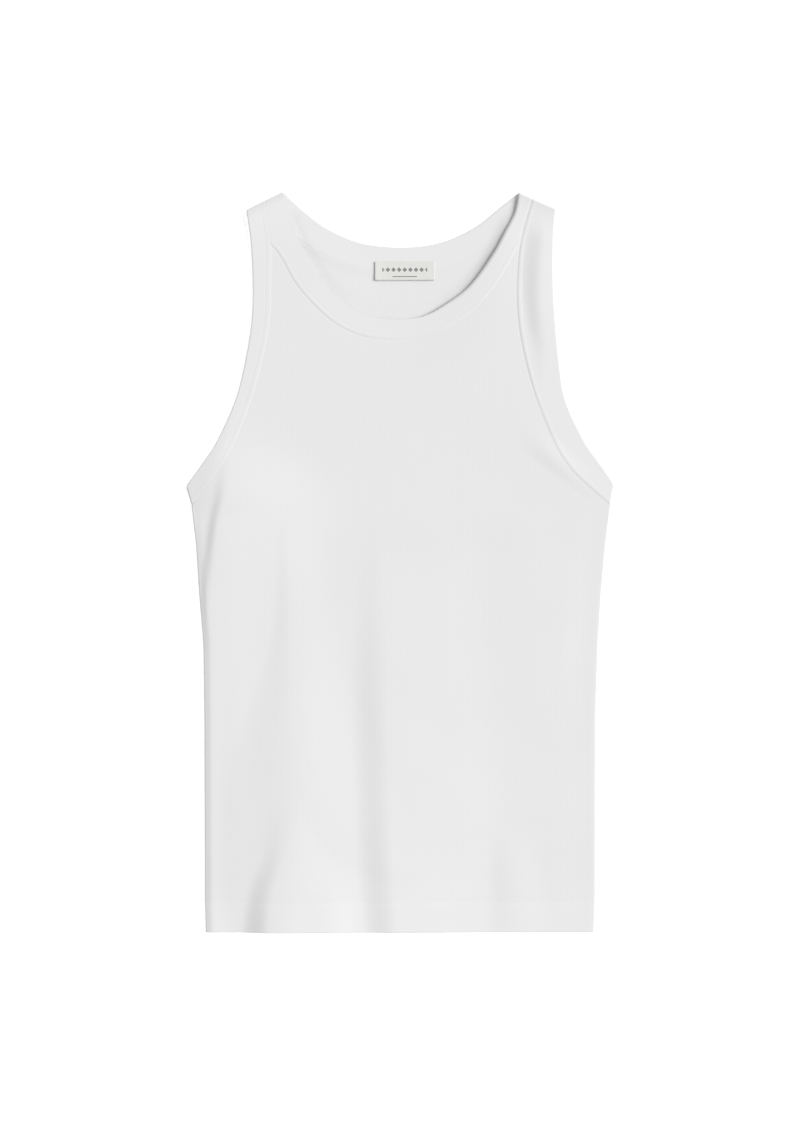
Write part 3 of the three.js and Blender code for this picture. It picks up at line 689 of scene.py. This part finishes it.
def cloth_waves(x, y):
    total = 0
    for wave in CLOTH_WAVES:
        turn = wave["x"] * x + wave["y"] * y + wave["phase"]
        total = total + wave["height"] * (1 + np.sin(turn))
    inside = smooth(*WAVES_LIE["above_hem"], y - HEM_Y) * (1 - smooth(*WAVES_LIE["fade"], y))
    return total * inside * smooth(*WAVES_LIE["from_side"], at_level("left", y) - np.abs(x))


# Bindings

# Distances from the seam and from the outer edge at which a binding is shaped across
FROM_SEAM = (0, 0.05, 0.17, 0.4, 0.75, 1.2, 1.8, 2.6, 3.4, 3.85, 4.2, 4.5, 4.8, 5.1, 5.5)
FROM_EDGE = (0, 0.03, 0.06, 0.1, 0.2, 0.42, 0.75, 1.2, 1.9)
BETWEEN = 8
TURN_STEPS = 18
TURN_INSET = (BAND_WALL + CAD_GAP) / 2 + BAND_WALL / 2
BACK_MIDDLE = BAND_WALL / 2

# How deep the groove along a seam is: hardly there on the left strap, where the bindings lie close
CLOSE_SEAM = 0
BACK_SEAM = 0.02
NECK_SEAM = 0.25
ARM_SEAM = dict(left=0.04, right=0.35)
LOW_SEAM = 0.12
LEFT_SEAM_OPENS = (215, 120)
RIGHT_SEAM_OPENS = (90, 160)

# Share of the neck seam over which it opens at either end, and how much shallower it is on the right
HORN_OPENS = 0.03
NECK_SEAM_FADE = 0.6

# The neck binding changes from its left to its right form between these distances from the middle,
# and the right strap's edge is tucked in full from this share of its length on
RIGHT_OF_NECK = (10, 50)
ROUNDING_CHANGES = (-10, 60)
STRAP_TUCKED = 0.6

# Shares of an armhole that its turns at the shoulder and underarm take, and the share of a curve, in
# small steps, along which the start of a turn is looked for
ARM_ENDS = (0.012, 0.016)
TURN_SEARCH = dict(share=0.2, steps=2001)


def across_shares(width):
    """Shares of the way from edge to seam, close together near both."""
    width = np.asarray(width, float)[..., None]
    near_edge = np.array(FROM_EDGE) / width
    near_seam = 1 - np.array(FROM_SEAM[::-1]) / width
    even = np.linspace(0, 1, BETWEEN + 2)[1:-1]
    between = mix(near_edge[..., -1:], near_seam[..., :1], even)
    return np.concatenate([near_edge, between, near_seam], -1)


def front_middle(x, y):
    return BAND_WALL + CAD_GAP + BAND_WALL / 2 + rise(x, y)


def flat_stations(face, edge, seam, groove, strip, rounding=BAND_NOSE["arm"], tuck=0):
    """Rows across a binding: middles, outward directions, depth of groove and strip, rounding.

    tuck tells how far the outer edge bends down again from the front layer's rise.
    """
    width = np.linalg.norm(seam - edge, axis=-1)
    across = across_shares(width)
    plan = mix(edge[:, None], seam[:, None], across[..., None])
    x, y = plan[..., 0], plan[..., 1]
    if face == "front":
        from_edge = across * width[:, None]
        bent = TUCK * (1 - smooth(0, TUCK_REACH, from_edge))
        bent = bent + LONG_TUCK * (1 - smooth(0, LONG_TUCK_REACH, from_edge))
        z = front_middle(x, y) - rise(x, y) * bent * np.reshape(tuck, (-1, 1))
    else:
        z = BACK_MIDDLE + neck_swells(x, y)
    out = np.zeros(plan.shape[:2] + (3,))
    out[..., 2] = 1 if face == "front" else -1
    return dict(
        middle=np.stack([x, y, z], -1),
        out=out,
        groove=np.broadcast_to(groove, len(plan)),
        strip=np.broadcast_to(strip, len(plan)),
        rounding=np.broadcast_to(rounding, len(plan)),
    )


def before_turn(curve, at_start, sideways, fold_point, outward):
    """Point of a seam or edge just before its binding turns over the fold line."""
    share = np.linspace(0, TURN_SEARCH["share"], TURN_SEARCH["steps"])
    points = curve.beside(share if at_start else 1 - share, sideways)
    inset = (fold_point - points) @ outward
    return points[int(np.argmax(inset >= TURN_INSET))]


def turn_stations(edge, seam, front, back, outward, groove, strip, rounding=BAND_NOSE["arm"]):
    across = across_shares(np.linalg.norm(seam - edge))[:, None]
    outermost = mix(edge, seam, across) - outward * BAND_WALL / 2
    top = mix(front[0], front[1], across)
    bottom = mix(back[0], back[1], across)
    radius = (front_middle(top[:, 0], top[:, 1]) - BACK_MIDDLE) / 2
    middles, outs = [], []
    for angle in np.linspace(0, math.pi, TURN_STEPS + 1):
        start = top if angle < math.pi / 2 else bottom
        plan = mix(start, outermost, math.sin(angle))
        z = BACK_MIDDLE + radius * (1 + math.cos(angle))
        middles.append(np.column_stack([plan, z]))
        out = [*(outward * math.sin(angle)), math.cos(angle)]
        outs.append(np.tile(out, (len(across), 1)))
    return dict(
        middle=np.array(middles),
        out=np.array(outs),
        groove=np.full(len(middles), float(groove)),
        strip=np.full(len(middles), float(strip)),
        rounding=np.full(len(middles), rounding),
    )


def shoulder_turn(side, binding):
    fold = {name: np.array(point, float) for name, point in FOLDS_OVER[side].items()}
    outward = outward_of(fold["neck"], fold["arm"])
    edge = fold[binding]
    inward = (edge - fold["join"]) / np.linalg.norm(edge - fold["join"])
    seam = fold["join"] + inward * SEAM_GAP / 2
    sideways = towards_arm(side) if binding == "arm" else -towards_arm(side)

    def ends(face):
        if binding == "neck":
            edge_curve, at_start = NECK[face + "_edge"], side == "left"
        else:
            edge_curve, at_start = ARM[side]["edge"], True
        return (
            before_turn(edge_curve, at_start, 0, fold["neck"], outward),
            before_turn(ARM[side][face], True, sideways, fold["neck"], outward),
        )

    groove = CLOSE_SEAM if side == "left" else ARM_SEAM["right"] / 2
    rounding = BAND_NOSE[side if binding == "neck" else "arm"]
    strip = binding == "arm"
    return turn_stations(edge, seam, ends("front"), ends("back"), outward, groove, strip, rounding)


def underarm_turn(side):
    tip, seam = (np.array(UNDERARM[side][name], float) for name in ("tip", "seam"))
    outward = outward_of(tip, seam)

    def ends(face):
        return (
            before_turn(ARM[side]["edge"], False, 0, tip, outward),
            before_turn(ARM[side][face], False, towards_arm(side), tip, outward),
        )

    return turn_stations(tip, seam, ends("front"), ends("back"), outward, LOW_SEAM / 2, 1)


def reverse(stations):
    return {name: values[::-1] for name, values in stations.items()}


def neck_stations(face, strap_count, middle_count):
    low, high = HORN_ON_EDGE[face]
    edge_curve = NECK[face + "_edge"]

    def strap(side):
        part = np.arange(1, strap_count) / strap_count
        edge_at = part * low if side == "left" else 1 - part * (1 - high)
        seam = ARM[side][face].beside(part * horn_share(side, face), -towards_arm(side))
        groove = CLOSE_SEAM if side == "left" or face == "back" else NECK_SEAM / 2
        tuck = smooth(0, STRAP_TUCKED, part) if side == "right" else 0
        return flat_stations(face, edge_curve.at(edge_at), seam, groove, 0, BAND_NOSE[side], tuck)

    share = np.linspace(0, 1, middle_count)
    seam = NECK[face].beside(share, SEAM_GAP / 2)
    seam[0], seam[-1] = horn_point("left", face), horn_point("right", face)
    from_horn = np.minimum(share, 1 - share)
    opened = smooth(0, HORN_OPENS, from_horn)
    faded = NECK_SEAM * (1 - NECK_SEAM_FADE * smooth(*RIGHT_OF_NECK, seam[:, 0]))
    depth = faded if face == "front" else BACK_SEAM
    groove = mix(CLOSE_SEAM, depth, opened)
    edge = edge_curve.at(mix(low, high, share))
    rounding = mix(BAND_NOSE["left"], BAND_NOSE["right"], smooth(*ROUNDING_CHANGES, edge[:, 0]))
    tuck = smooth(*RIGHT_OF_NECK, edge[:, 0])
    middle = flat_stations(face, edge, seam, groove, opened, rounding, tuck)
    return [strap("left"), middle, reverse(strap("right"))]


def arm_stations(side, face, count):
    share = np.linspace(ARM_ENDS[0], 1 - ARM_ENDS[1], count)
    edge = ARM[side]["edge"].at(share)
    seam = ARM[side][face].beside(share, towards_arm(side))
    if face == "back":
        groove = BACK_SEAM
    elif side == "left":
        opened = smooth(-LEFT_SEAM_OPENS[0], -LEFT_SEAM_OPENS[1], -seam[:, 1])
        groove = mix(CLOSE_SEAM, ARM_SEAM[side], opened)
    else:
        groove = mix(LOW_SEAM, ARM_SEAM[side], smooth(*RIGHT_SEAM_OPENS, seam[:, 1]))
    return flat_stations(face, edge, seam, groove, 1)


def band(name, parts, strip_height):
    """Closed ring of a binding, from its parts in order round the ring, and its row of stitches."""
    middle, out, groove, strip, rounding = (
        np.concatenate([part[key] for part in parts])
        for key in ("middle", "out", "groove", "strip", "rounding")
    )
    from_edge = np.linalg.norm(middle - middle[:, :1], axis=-1)
    from_seam = np.linalg.norm(middle - middle[:, -1:], axis=-1)
    half = BAND_WALL / 2 * nose(from_edge, rounding[:, None])
    opened = seam_groove(from_seam, groove[:, None], SEAM_REACH["band"])
    raised = smooth(0, STRIP["edge"], from_seam)
    raised = raised * (1 - smooth(STRIP["width"] - STRIP["edge"], STRIP["width"], from_seam))
    raised = raised * strip_height * strip[:, None] * np.clip(out[..., 2], 0, 1)
    sunk = row_groove(from_seam - BINDING_ROW) * strip[:, None]
    over = middle + out * (half + raised - sunk - opened)[..., None]
    beneath = middle - out * half[..., None]
    ring = np.concatenate([over, beneath[:, -2:0:-1]], 1)
    stations, around = ring.shape[:2]

    index = np.arange(stations * around).reshape(stations, around)
    following = np.roll(index, -1, 0)
    faces = np.stack([index, following, np.roll(following, -1, 1), np.roll(index, -1, 1)], -1)

    centre = middle[:, middle.shape[1] // 2]
    steps = np.linalg.norm(np.roll(centre, -1, 0) - centre, axis=1)
    along = np.concatenate([[0], np.cumsum(steps)])
    across = np.concatenate([from_edge, from_edge[:, -2:0:-1]], 1)
    here = np.repeat(along[:-1, None], around, 1)
    there = np.repeat(along[1:, None], around, 1)
    next_across = np.roll(across, -1, 0)
    corner_along = np.stack([here, there, there, here], -1)
    corner_across = np.stack(
        [across, next_across, np.roll(next_across, -1, 1), np.roll(across, -1, 1)], -1
    )
    uvs = np.stack([corner_along, corner_across], -1).reshape(-1, 4, 2)
    vertices = ring.reshape(-1, 3)
    faces = faces.reshape(-1, 4)
    turned = facing_out(vertices, faces)
    if not np.array_equal(turned, faces):
        uvs = uvs[:, ::-1]
    piece = mesh_object(name, vertices, turned, uvs.reshape(-1, 2))

    row_at = np.array([np.interp(-BINDING_ROW, -away, np.arange(len(away))) for away in from_seam])
    low = np.floor(row_at).astype(int)
    each = np.arange(stations)
    row = mix(over[each, low], over[each, low + 1], (row_at - low)[:, None])
    stitched = strip > 0.5
    return piece, row, out[:, 0], stitched


def stitch_row(points, normals, keep=None):
    """Places of the stitches along a line: middle, direction and outward normal of each."""
    steps = np.linalg.norm(np.diff(points, axis=0), axis=1)
    along = np.concatenate([[0], np.cumsum(steps)])
    places = np.arange(STITCH["pitch"] / 2, along[-1], STITCH["pitch"])

    def read(values, at):
        return np.stack([np.interp(at, along, values[:, axis]) for axis in range(3)], -1)

    half = STITCH["length"] / 2
    way = read(points, places + half) - read(points, places - half)
    way = way / np.linalg.norm(way, axis=1, keepdims=True)
    middles, outs = read(points, places), read(normals, places)
    if keep is not None:
        kept = np.interp(places, along, keep.astype(float)) > 0.5
        middles, way, outs = middles[kept], way[kept], outs[kept]
    return middles, way, outs


STITCH_RINGS = 7
STITCH_SIDES = 8


def stitches(name, rows, material):
    """One mesh of short rounded threads, lying in their groove."""
    middles, ways, outs = (np.concatenate(values) for values in zip(*rows))
    sideways = np.cross(ways, outs)
    sideways = sideways / np.linalg.norm(sideways, axis=1, keepdims=True)
    lengthwise = np.linspace(-1, 1, STITCH_RINGS)
    girth = np.sqrt(np.maximum(STITCH["tip"], 1 - np.abs(lengthwise) ** 3))
    sag = -STITCH["sag"] * STITCH["radius"] * np.abs(lengthwise) ** 3
    turn = np.arange(STITCH_SIDES) * 2 * math.pi / STITCH_SIDES
    radius = STITCH["radius"]
    along = lengthwise[:, None] * np.ones(STITCH_SIDES) * STITCH["length"] / 2
    beside = girth[:, None] * np.cos(turn) * radius
    up = girth[:, None] * np.sin(turn) * radius * STITCH["flatness"] + sag[:, None]
    vertices = (
        middles[:, None, None]
        + ways[:, None, None] * along[None, ..., None]
        + sideways[:, None, None] * beside[None, ..., None]
        + outs[:, None, None] * up[None, ..., None]
    )
    per_stitch = STITCH_RINGS * STITCH_SIDES
    index = np.arange(per_stitch).reshape(STITCH_RINGS, STITCH_SIDES)
    around = np.roll(index, -1, 1)
    tube = np.stack([index[:-1], around[:-1], around[1:], index[1:]], -1).reshape(-1, 4)
    caps = [index[0, ::-1], index[-1]]
    starts = np.arange(len(middles)) * per_stitch
    faces = [*(tube[None] + starts[:, None, None]).reshape(-1, 4).tolist()]
    for cap in caps:
        faces += (cap[None] + starts[:, None]).tolist()
    mesh = bpy.data.meshes.new(name)
    mesh.from_pydata(placed(vertices.reshape(-1, 3)).tolist(), [], faces)
    mesh.polygons.foreach_set("use_smooth", np.ones(len(mesh.polygons), bool))
    mesh.update()
    piece = bpy.data.objects.new(name, mesh)
    bpy.context.scene.collection.objects.link(piece)
    piece.data.materials.append(material)
    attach(piece, "root")
    return piece


def neckband():
    front = neck_stations("front", 14, 190)
    back = neck_stations("back", 8, 130)
    back_reversed = [reverse(part) for part in reversed(back)]
    parts = [*front, shoulder_turn("right", "neck"), *back_reversed, reverse(shoulder_turn("left", "neck"))]
    return band("neck_binding", parts, STRIP["neck"])


def armband(side):
    parts = [
        arm_stations(side, "front", 150),
        underarm_turn(side),
        reverse(arm_stations(side, "back", 120)),
        reverse(shoulder_turn(side, "arm")),
    ]
    return band(side + "_arm_binding", parts, STRIP[side])


def hem_rows(face):
    """Both needle rows of a panel's hem."""
    rows = []
    for level in HEM_ROWS:
        x = np.arange(-at_level("left", level) + 1.5, at_level("right", level) - 1.5, 1)
        y = np.full_like(x, level)
        if face == "front":
            z = front_underside(x, y) + cloth_waves(x, y) + panel_wall(y) - ROW_GROOVE["depth"]
        else:
            z = back_rise(x, y) + ROW_GROOVE["depth"]
        normals = np.zeros((len(x), 3))
        normals[:, 2] = 1 if face == "front" else -1
        rows.append(stitch_row(np.column_stack([x, y, z]), normals))
    return rows


def neck_label():
    columns = between_edges(LABEL["right"] - LABEL["left"], 30)
    rows = np.linspace(0, 1, 19)
    x = np.repeat(mix(LABEL["left"], LABEL["right"], columns)[None], len(rows), 0)
    y = np.repeat(mix(LABEL["low"], LABEL["high"], rows)[:, None], len(columns), 1)
    free = 1 - smooth(0, LABEL["end_length"], x - LABEL["left"])
    under = BAND_WALL + CAD_GAP + LABEL["end_lift"] * free
    middle = under + LABEL["wall"] / 2
    to_end = np.minimum(x - LABEL["left"], LABEL["right"] - x)
    half = LABEL["wall"] / 2 * nose(to_end, 0.5)
    upper = np.stack([x, y, middle + half], -1).reshape(-1, 3)
    lower = np.stack([x, y, middle - half], -1).reshape(-1, 3)
    vertices = np.concatenate([upper, lower])
    faces = facing_out(vertices, wall_faces(*x.shape))
    return mesh_object("neck_label", vertices, faces, vertices[faces.ravel(), :2])


# Materials


class Nodes:
    """Short names for adding and linking shader nodes of one material."""

    def __init__(self, name, base, roughness):
        self.material = bpy.data.materials.new(name)
        self.material.use_nodes = True
        self.tree = self.material.node_tree
        self.surface = self.tree.nodes["Principled BSDF"]
        self.set(self.surface, "Base Color", (*base, 1))
        self.set(self.surface, "Roughness", roughness)

    def set(self, node, socket, value):
        if hasattr(value, "is_output"):
            self.tree.links.new(value, node.inputs[socket])
        else:
            node.inputs[socket].default_value = value

    def math(self, operation, *values):
        node = self.tree.nodes.new("ShaderNodeMath")
        node.operation = operation
        for index, value in enumerate(values):
            self.set(node, index, value)
        return node.outputs[0]

    def smooth(self, low, high, value):
        node = self.tree.nodes.new("ShaderNodeMapRange")
        node.interpolation_type = "SMOOTHSTEP"
        for socket, entry in (("Value", value), ("From Min", low), ("From Max", high)):
            self.set(node, socket, entry)
        return node.outputs[0]

    def noise(self, scale, detail):
        where = self.tree.nodes.new("ShaderNodeTexCoord")
        node = self.tree.nodes.new("ShaderNodeTexNoise")
        self.set(node, "Vector", where.outputs["Object"])
        self.set(node, "Scale", scale)
        self.set(node, "Detail", detail)
        return node.outputs["Fac"]

    def cloth_map(self):
        """Both directions of the cloth's own map, in metres."""
        place = self.tree.nodes.new("ShaderNodeUVMap")
        place.uv_map = "cloth"
        split = self.tree.nodes.new("ShaderNodeSeparateXYZ")
        self.set(split, 0, place.outputs[0])
        return split.outputs[0], split.outputs[1]

    def blend(self, share, first, second):
        node = self.tree.nodes.new("ShaderNodeMix")
        node.data_type = "RGBA"
        self.set(node, 0, share)
        self.set(node, 6, first if hasattr(first, "is_output") else (*first, 1))
        self.set(node, 7, second if hasattr(second, "is_output") else (*second, 1))
        return node.outputs[2]

    def bump(self, height, depth):
        node = self.tree.nodes.new("ShaderNodeBump")
        self.set(node, "Height", height)
        self.set(node, "Distance", depth)
        self.set(self.surface, "Normal", node.outputs[0])


def shades(base, factor):
    return tuple(min(1, value * factor) for value in base)


def knit(name, base, pitch, depth, hem_brighter=1):
    """Fine rib knit: ribs a pitch apart along the map's first direction, with small loops on them."""
    nodes = Nodes(name, base, 0.92)
    nodes.set(nodes.surface, "Sheen Weight", 0.1)
    nodes.set(nodes.surface, "Sheen Roughness", 0.5)
    nodes.set(nodes.surface, "Specular IOR Level", 0.2)
    across, along = nodes.cloth_map()
    wander = nodes.math("MULTIPLY", nodes.noise(70, 2), 0.5 * pitch)
    placed = nodes.math("ADD", across, wander)
    rib = nodes.math("SINE", nodes.math("MULTIPLY", placed, 2 * math.pi / pitch))
    loop_turn = nodes.math("MULTIPLY", along, 2 * math.pi / (pitch * 0.7))
    loop = nodes.math("SINE", nodes.math("ADD", loop_turn, rib))
    fuzz = nodes.math("MULTIPLY", nodes.noise(1400, 3), 1.2)
    height = nodes.math("ADD", nodes.math("ADD", rib, nodes.math("MULTIPLY", loop, 0.35)), fuzz)
    nodes.bump(height, depth)

    tone = nodes.blend(nodes.noise(14, 2), shades(base, 0.985), shades(base, 1.012))
    if hem_brighter != 1:
        in_hem = nodes.smooth((HEM_TOP + 1.5) * MM, (HEM_TOP - 1.5) * MM, along)
        tone = nodes.blend(in_hem, tone, shades(base, hem_brighter))
    nodes.set(nodes.surface, "Base Color", tone)
    return nodes.material


def thread(name, base):
    """Spun sewing thread, with a fine twist."""
    nodes = Nodes(name, base, 0.6)
    nodes.set(nodes.surface, "Sheen Weight", 0.1)
    nodes.bump(nodes.noise(2600, 2), 0.04 * MM)
    tone = nodes.blend(nodes.noise(300, 1), shades(base, 0.97), shades(base, 1.03))
    nodes.set(nodes.surface, "Base Color", tone)
    return nodes.material


LABEL_BASE = (0.72, 0.717, 0.70)
LABEL_INK = (0.24, 0.24, 0.23)


def label_material():
    """Taffeta weave with a row of lozenges and a short bar below it."""
    nodes = Nodes("woven_label", LABEL_BASE, 0.65)
    across, along = nodes.cloth_map()
    centre_x = (LABEL["left"] + LABEL["right"]) / 2 * MM
    centre_y = (LABEL["low"] + LABEL["high"]) / 2 * MM
    from_middle = nodes.math("SUBTRACT", across, centre_x)
    above = nodes.math("SUBTRACT", along, centre_y)

    lozenge = dict(
        pitch=4.6 * MM, half_width=1.9 * MM, half_height=2 * MM, above=1 * MM, reach=18.4 * MM
    )
    in_cell = nodes.math("PINGPONG", from_middle, lozenge["pitch"] / 2)
    sideways = nodes.math("DIVIDE", in_cell, lozenge["half_width"])
    upwards = nodes.math("ABSOLUTE", nodes.math("SUBTRACT", above, lozenge["above"]))
    upwards = nodes.math("DIVIDE", upwards, lozenge["half_height"])
    shape = nodes.math("LESS_THAN", nodes.math("ADD", sideways, upwards), 1)
    within = nodes.math("LESS_THAN", nodes.math("ABSOLUTE", from_middle), lozenge["reach"])
    lozenges = nodes.math("MULTIPLY", shape, within)

    bar = dict(below=4.6 * MM, half_height=0.4 * MM, half_width=10 * MM)
    level = nodes.math("ABSOLUTE", nodes.math("ADD", above, bar["below"]))
    on_bar = nodes.math("LESS_THAN", level, bar["half_height"])
    along_bar = nodes.math("LESS_THAN", nodes.math("ABSOLUTE", from_middle), bar["half_width"])
    ink = nodes.math("MAXIMUM", lozenges, nodes.math("MULTIPLY", on_bar, along_bar))

    tone = nodes.blend(nodes.noise(120, 2), shades(LABEL_BASE, 0.98), shades(LABEL_BASE, 1.02))
    nodes.set(nodes.surface, "Base Color", nodes.blend(ink, tone, LABEL_INK))
    weave_x = nodes.math("SINE", nodes.math("MULTIPLY", across, 2 * math.pi / (0.3 * MM)))
    weave_y = nodes.math("SINE", nodes.math("MULTIPLY", along, 2 * math.pi / (0.22 * MM)))
    nodes.bump(nodes.math("MULTIPLY", weave_x, weave_y), 0.015 * MM)
    return nodes.material


def floor_material():
    """Pale table, lit a little from within as the photograph's white ground is."""
    nodes = Nodes("pale_floor", (0.95, 0.95, 0.95), 0.9)
    nodes.set(nodes.surface, "Specular IOR Level", 0.1)
    nodes.set(nodes.surface, "Emission Color", (1, 1, 1, 1))
    nodes.set(nodes.surface, "Emission Strength", 0.5)
    return nodes.material


def dress(piece, node, material):
    piece.data.materials.append(material)
    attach(piece, "root")
    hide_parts(node)


KNIT_BASE = (0.755, 0.755, 0.755)
THREAD_BASE = (0.80, 0.80, 0.80)
rib_knit = knit("rib_knit", KNIT_BASE, 1.2 * MM, 0.01 * MM, hem_brighter=1.015)
# The bindings' knit has its own rib pitch, and its base is a 1% brighter copy of the panels' knit: painted
# highlight, standing in for the bindings' lit tilt towards the key light.
rib_binding = knit("rib_binding", shades(KNIT_BASE, 1.01), 1.3 * MM, 0.01 * MM)
white_thread = thread("white_thread", THREAD_BASE)

front = panel("front", between_edges(330, 134), 110, 60)
back = panel("back", between_edges(330, 84), 64, 44)
neck, neck_row, neck_outs, neck_stitched = neckband()
label = neck_label()

dress(back, "back", rib_knit)
dress(front, "front", rib_knit)
dress(neck, "neckband", rib_binding)
stitches(
    "neck_stitching", [stitch_row(neck_row, neck_outs, neck_stitched)], white_thread
)
for side, width in (("left", 0.016), ("right", 0.02)):
    arm, arm_row, arm_outs, arm_stitched = armband(side)
    dress(arm, "armband_" + side, rib_binding)
    stitches(side + "_arm_stitching", [stitch_row(arm_row, arm_outs)], white_thread)
dress(label, "label", label_material())
stitches("front_hem_stitching", hem_rows("front"), white_thread)
stitches("back_hem_stitching", hem_rows("back"), white_thread)


# Stage, light and camera

# Photograph: its size in pixels, and the real size of one pixel on the garment
PHOTO = dict(width=800, height=1126, pixel=0.82 * MM)
LENS = 90
SENSOR = 36
FLOOR_LEVEL = -0.1
FLOOR_SIZE = 6000

# The key light comes from the right and a little from above, as the folds' shaded sides show
KEY = dict(azimuth=14, elevation=38, spread=34, strength=2.9)
FILL = 0.505


def floor():
    half = FLOOR_SIZE / 2
    corners = ((-half, -half), (half, -half), (half, half), (-half, half))
    vertices = np.array([(x, y, FLOOR_LEVEL) for x, y in corners])
    stage = mesh_object("floor", vertices, np.array([[0, 1, 2, 3]]))
    stage.data.materials.append(floor_material())


def key_light():
    data = bpy.data.lights.new("key", "SUN")
    data.energy = KEY["strength"]
    data.angle = math.radians(KEY["spread"])
    lamp = bpy.data.objects.new("key", data)
    bpy.context.scene.collection.objects.link(lamp)
    lamp.rotation_euler = (0, math.radians(90 - KEY["elevation"]), math.radians(KEY["azimuth"]))


def fill_light():
    sky = bpy.data.worlds.new("studio")
    sky.use_nodes = True
    background = sky.node_tree.nodes["Background"]
    background.inputs["Color"].default_value = (1, 1, 1, 1)
    background.inputs["Strength"].default_value = FILL
    bpy.context.scene.world = sky


def camera():
    """Looks straight down on the photograph's frame."""
    data = bpy.data.cameras.new("camera")
    data.lens = LENS
    data.sensor_width = SENSOR
    data.clip_end = 20
    eye = bpy.data.objects.new("camera", data)
    bpy.context.scene.collection.objects.link(eye)
    distance = PHOTO["height"] * PHOTO["pixel"] * LENS / SENSOR
    eye.location = (PHOTO["pixel"] / 2 - CENTRE[0] * MM, -CENTRE[1] * MM, distance)
    bpy.context.scene.camera = eye


floor()
key_light()
fill_light()
camera()
bpy.context.scene.view_settings.view_transform = "Standard"
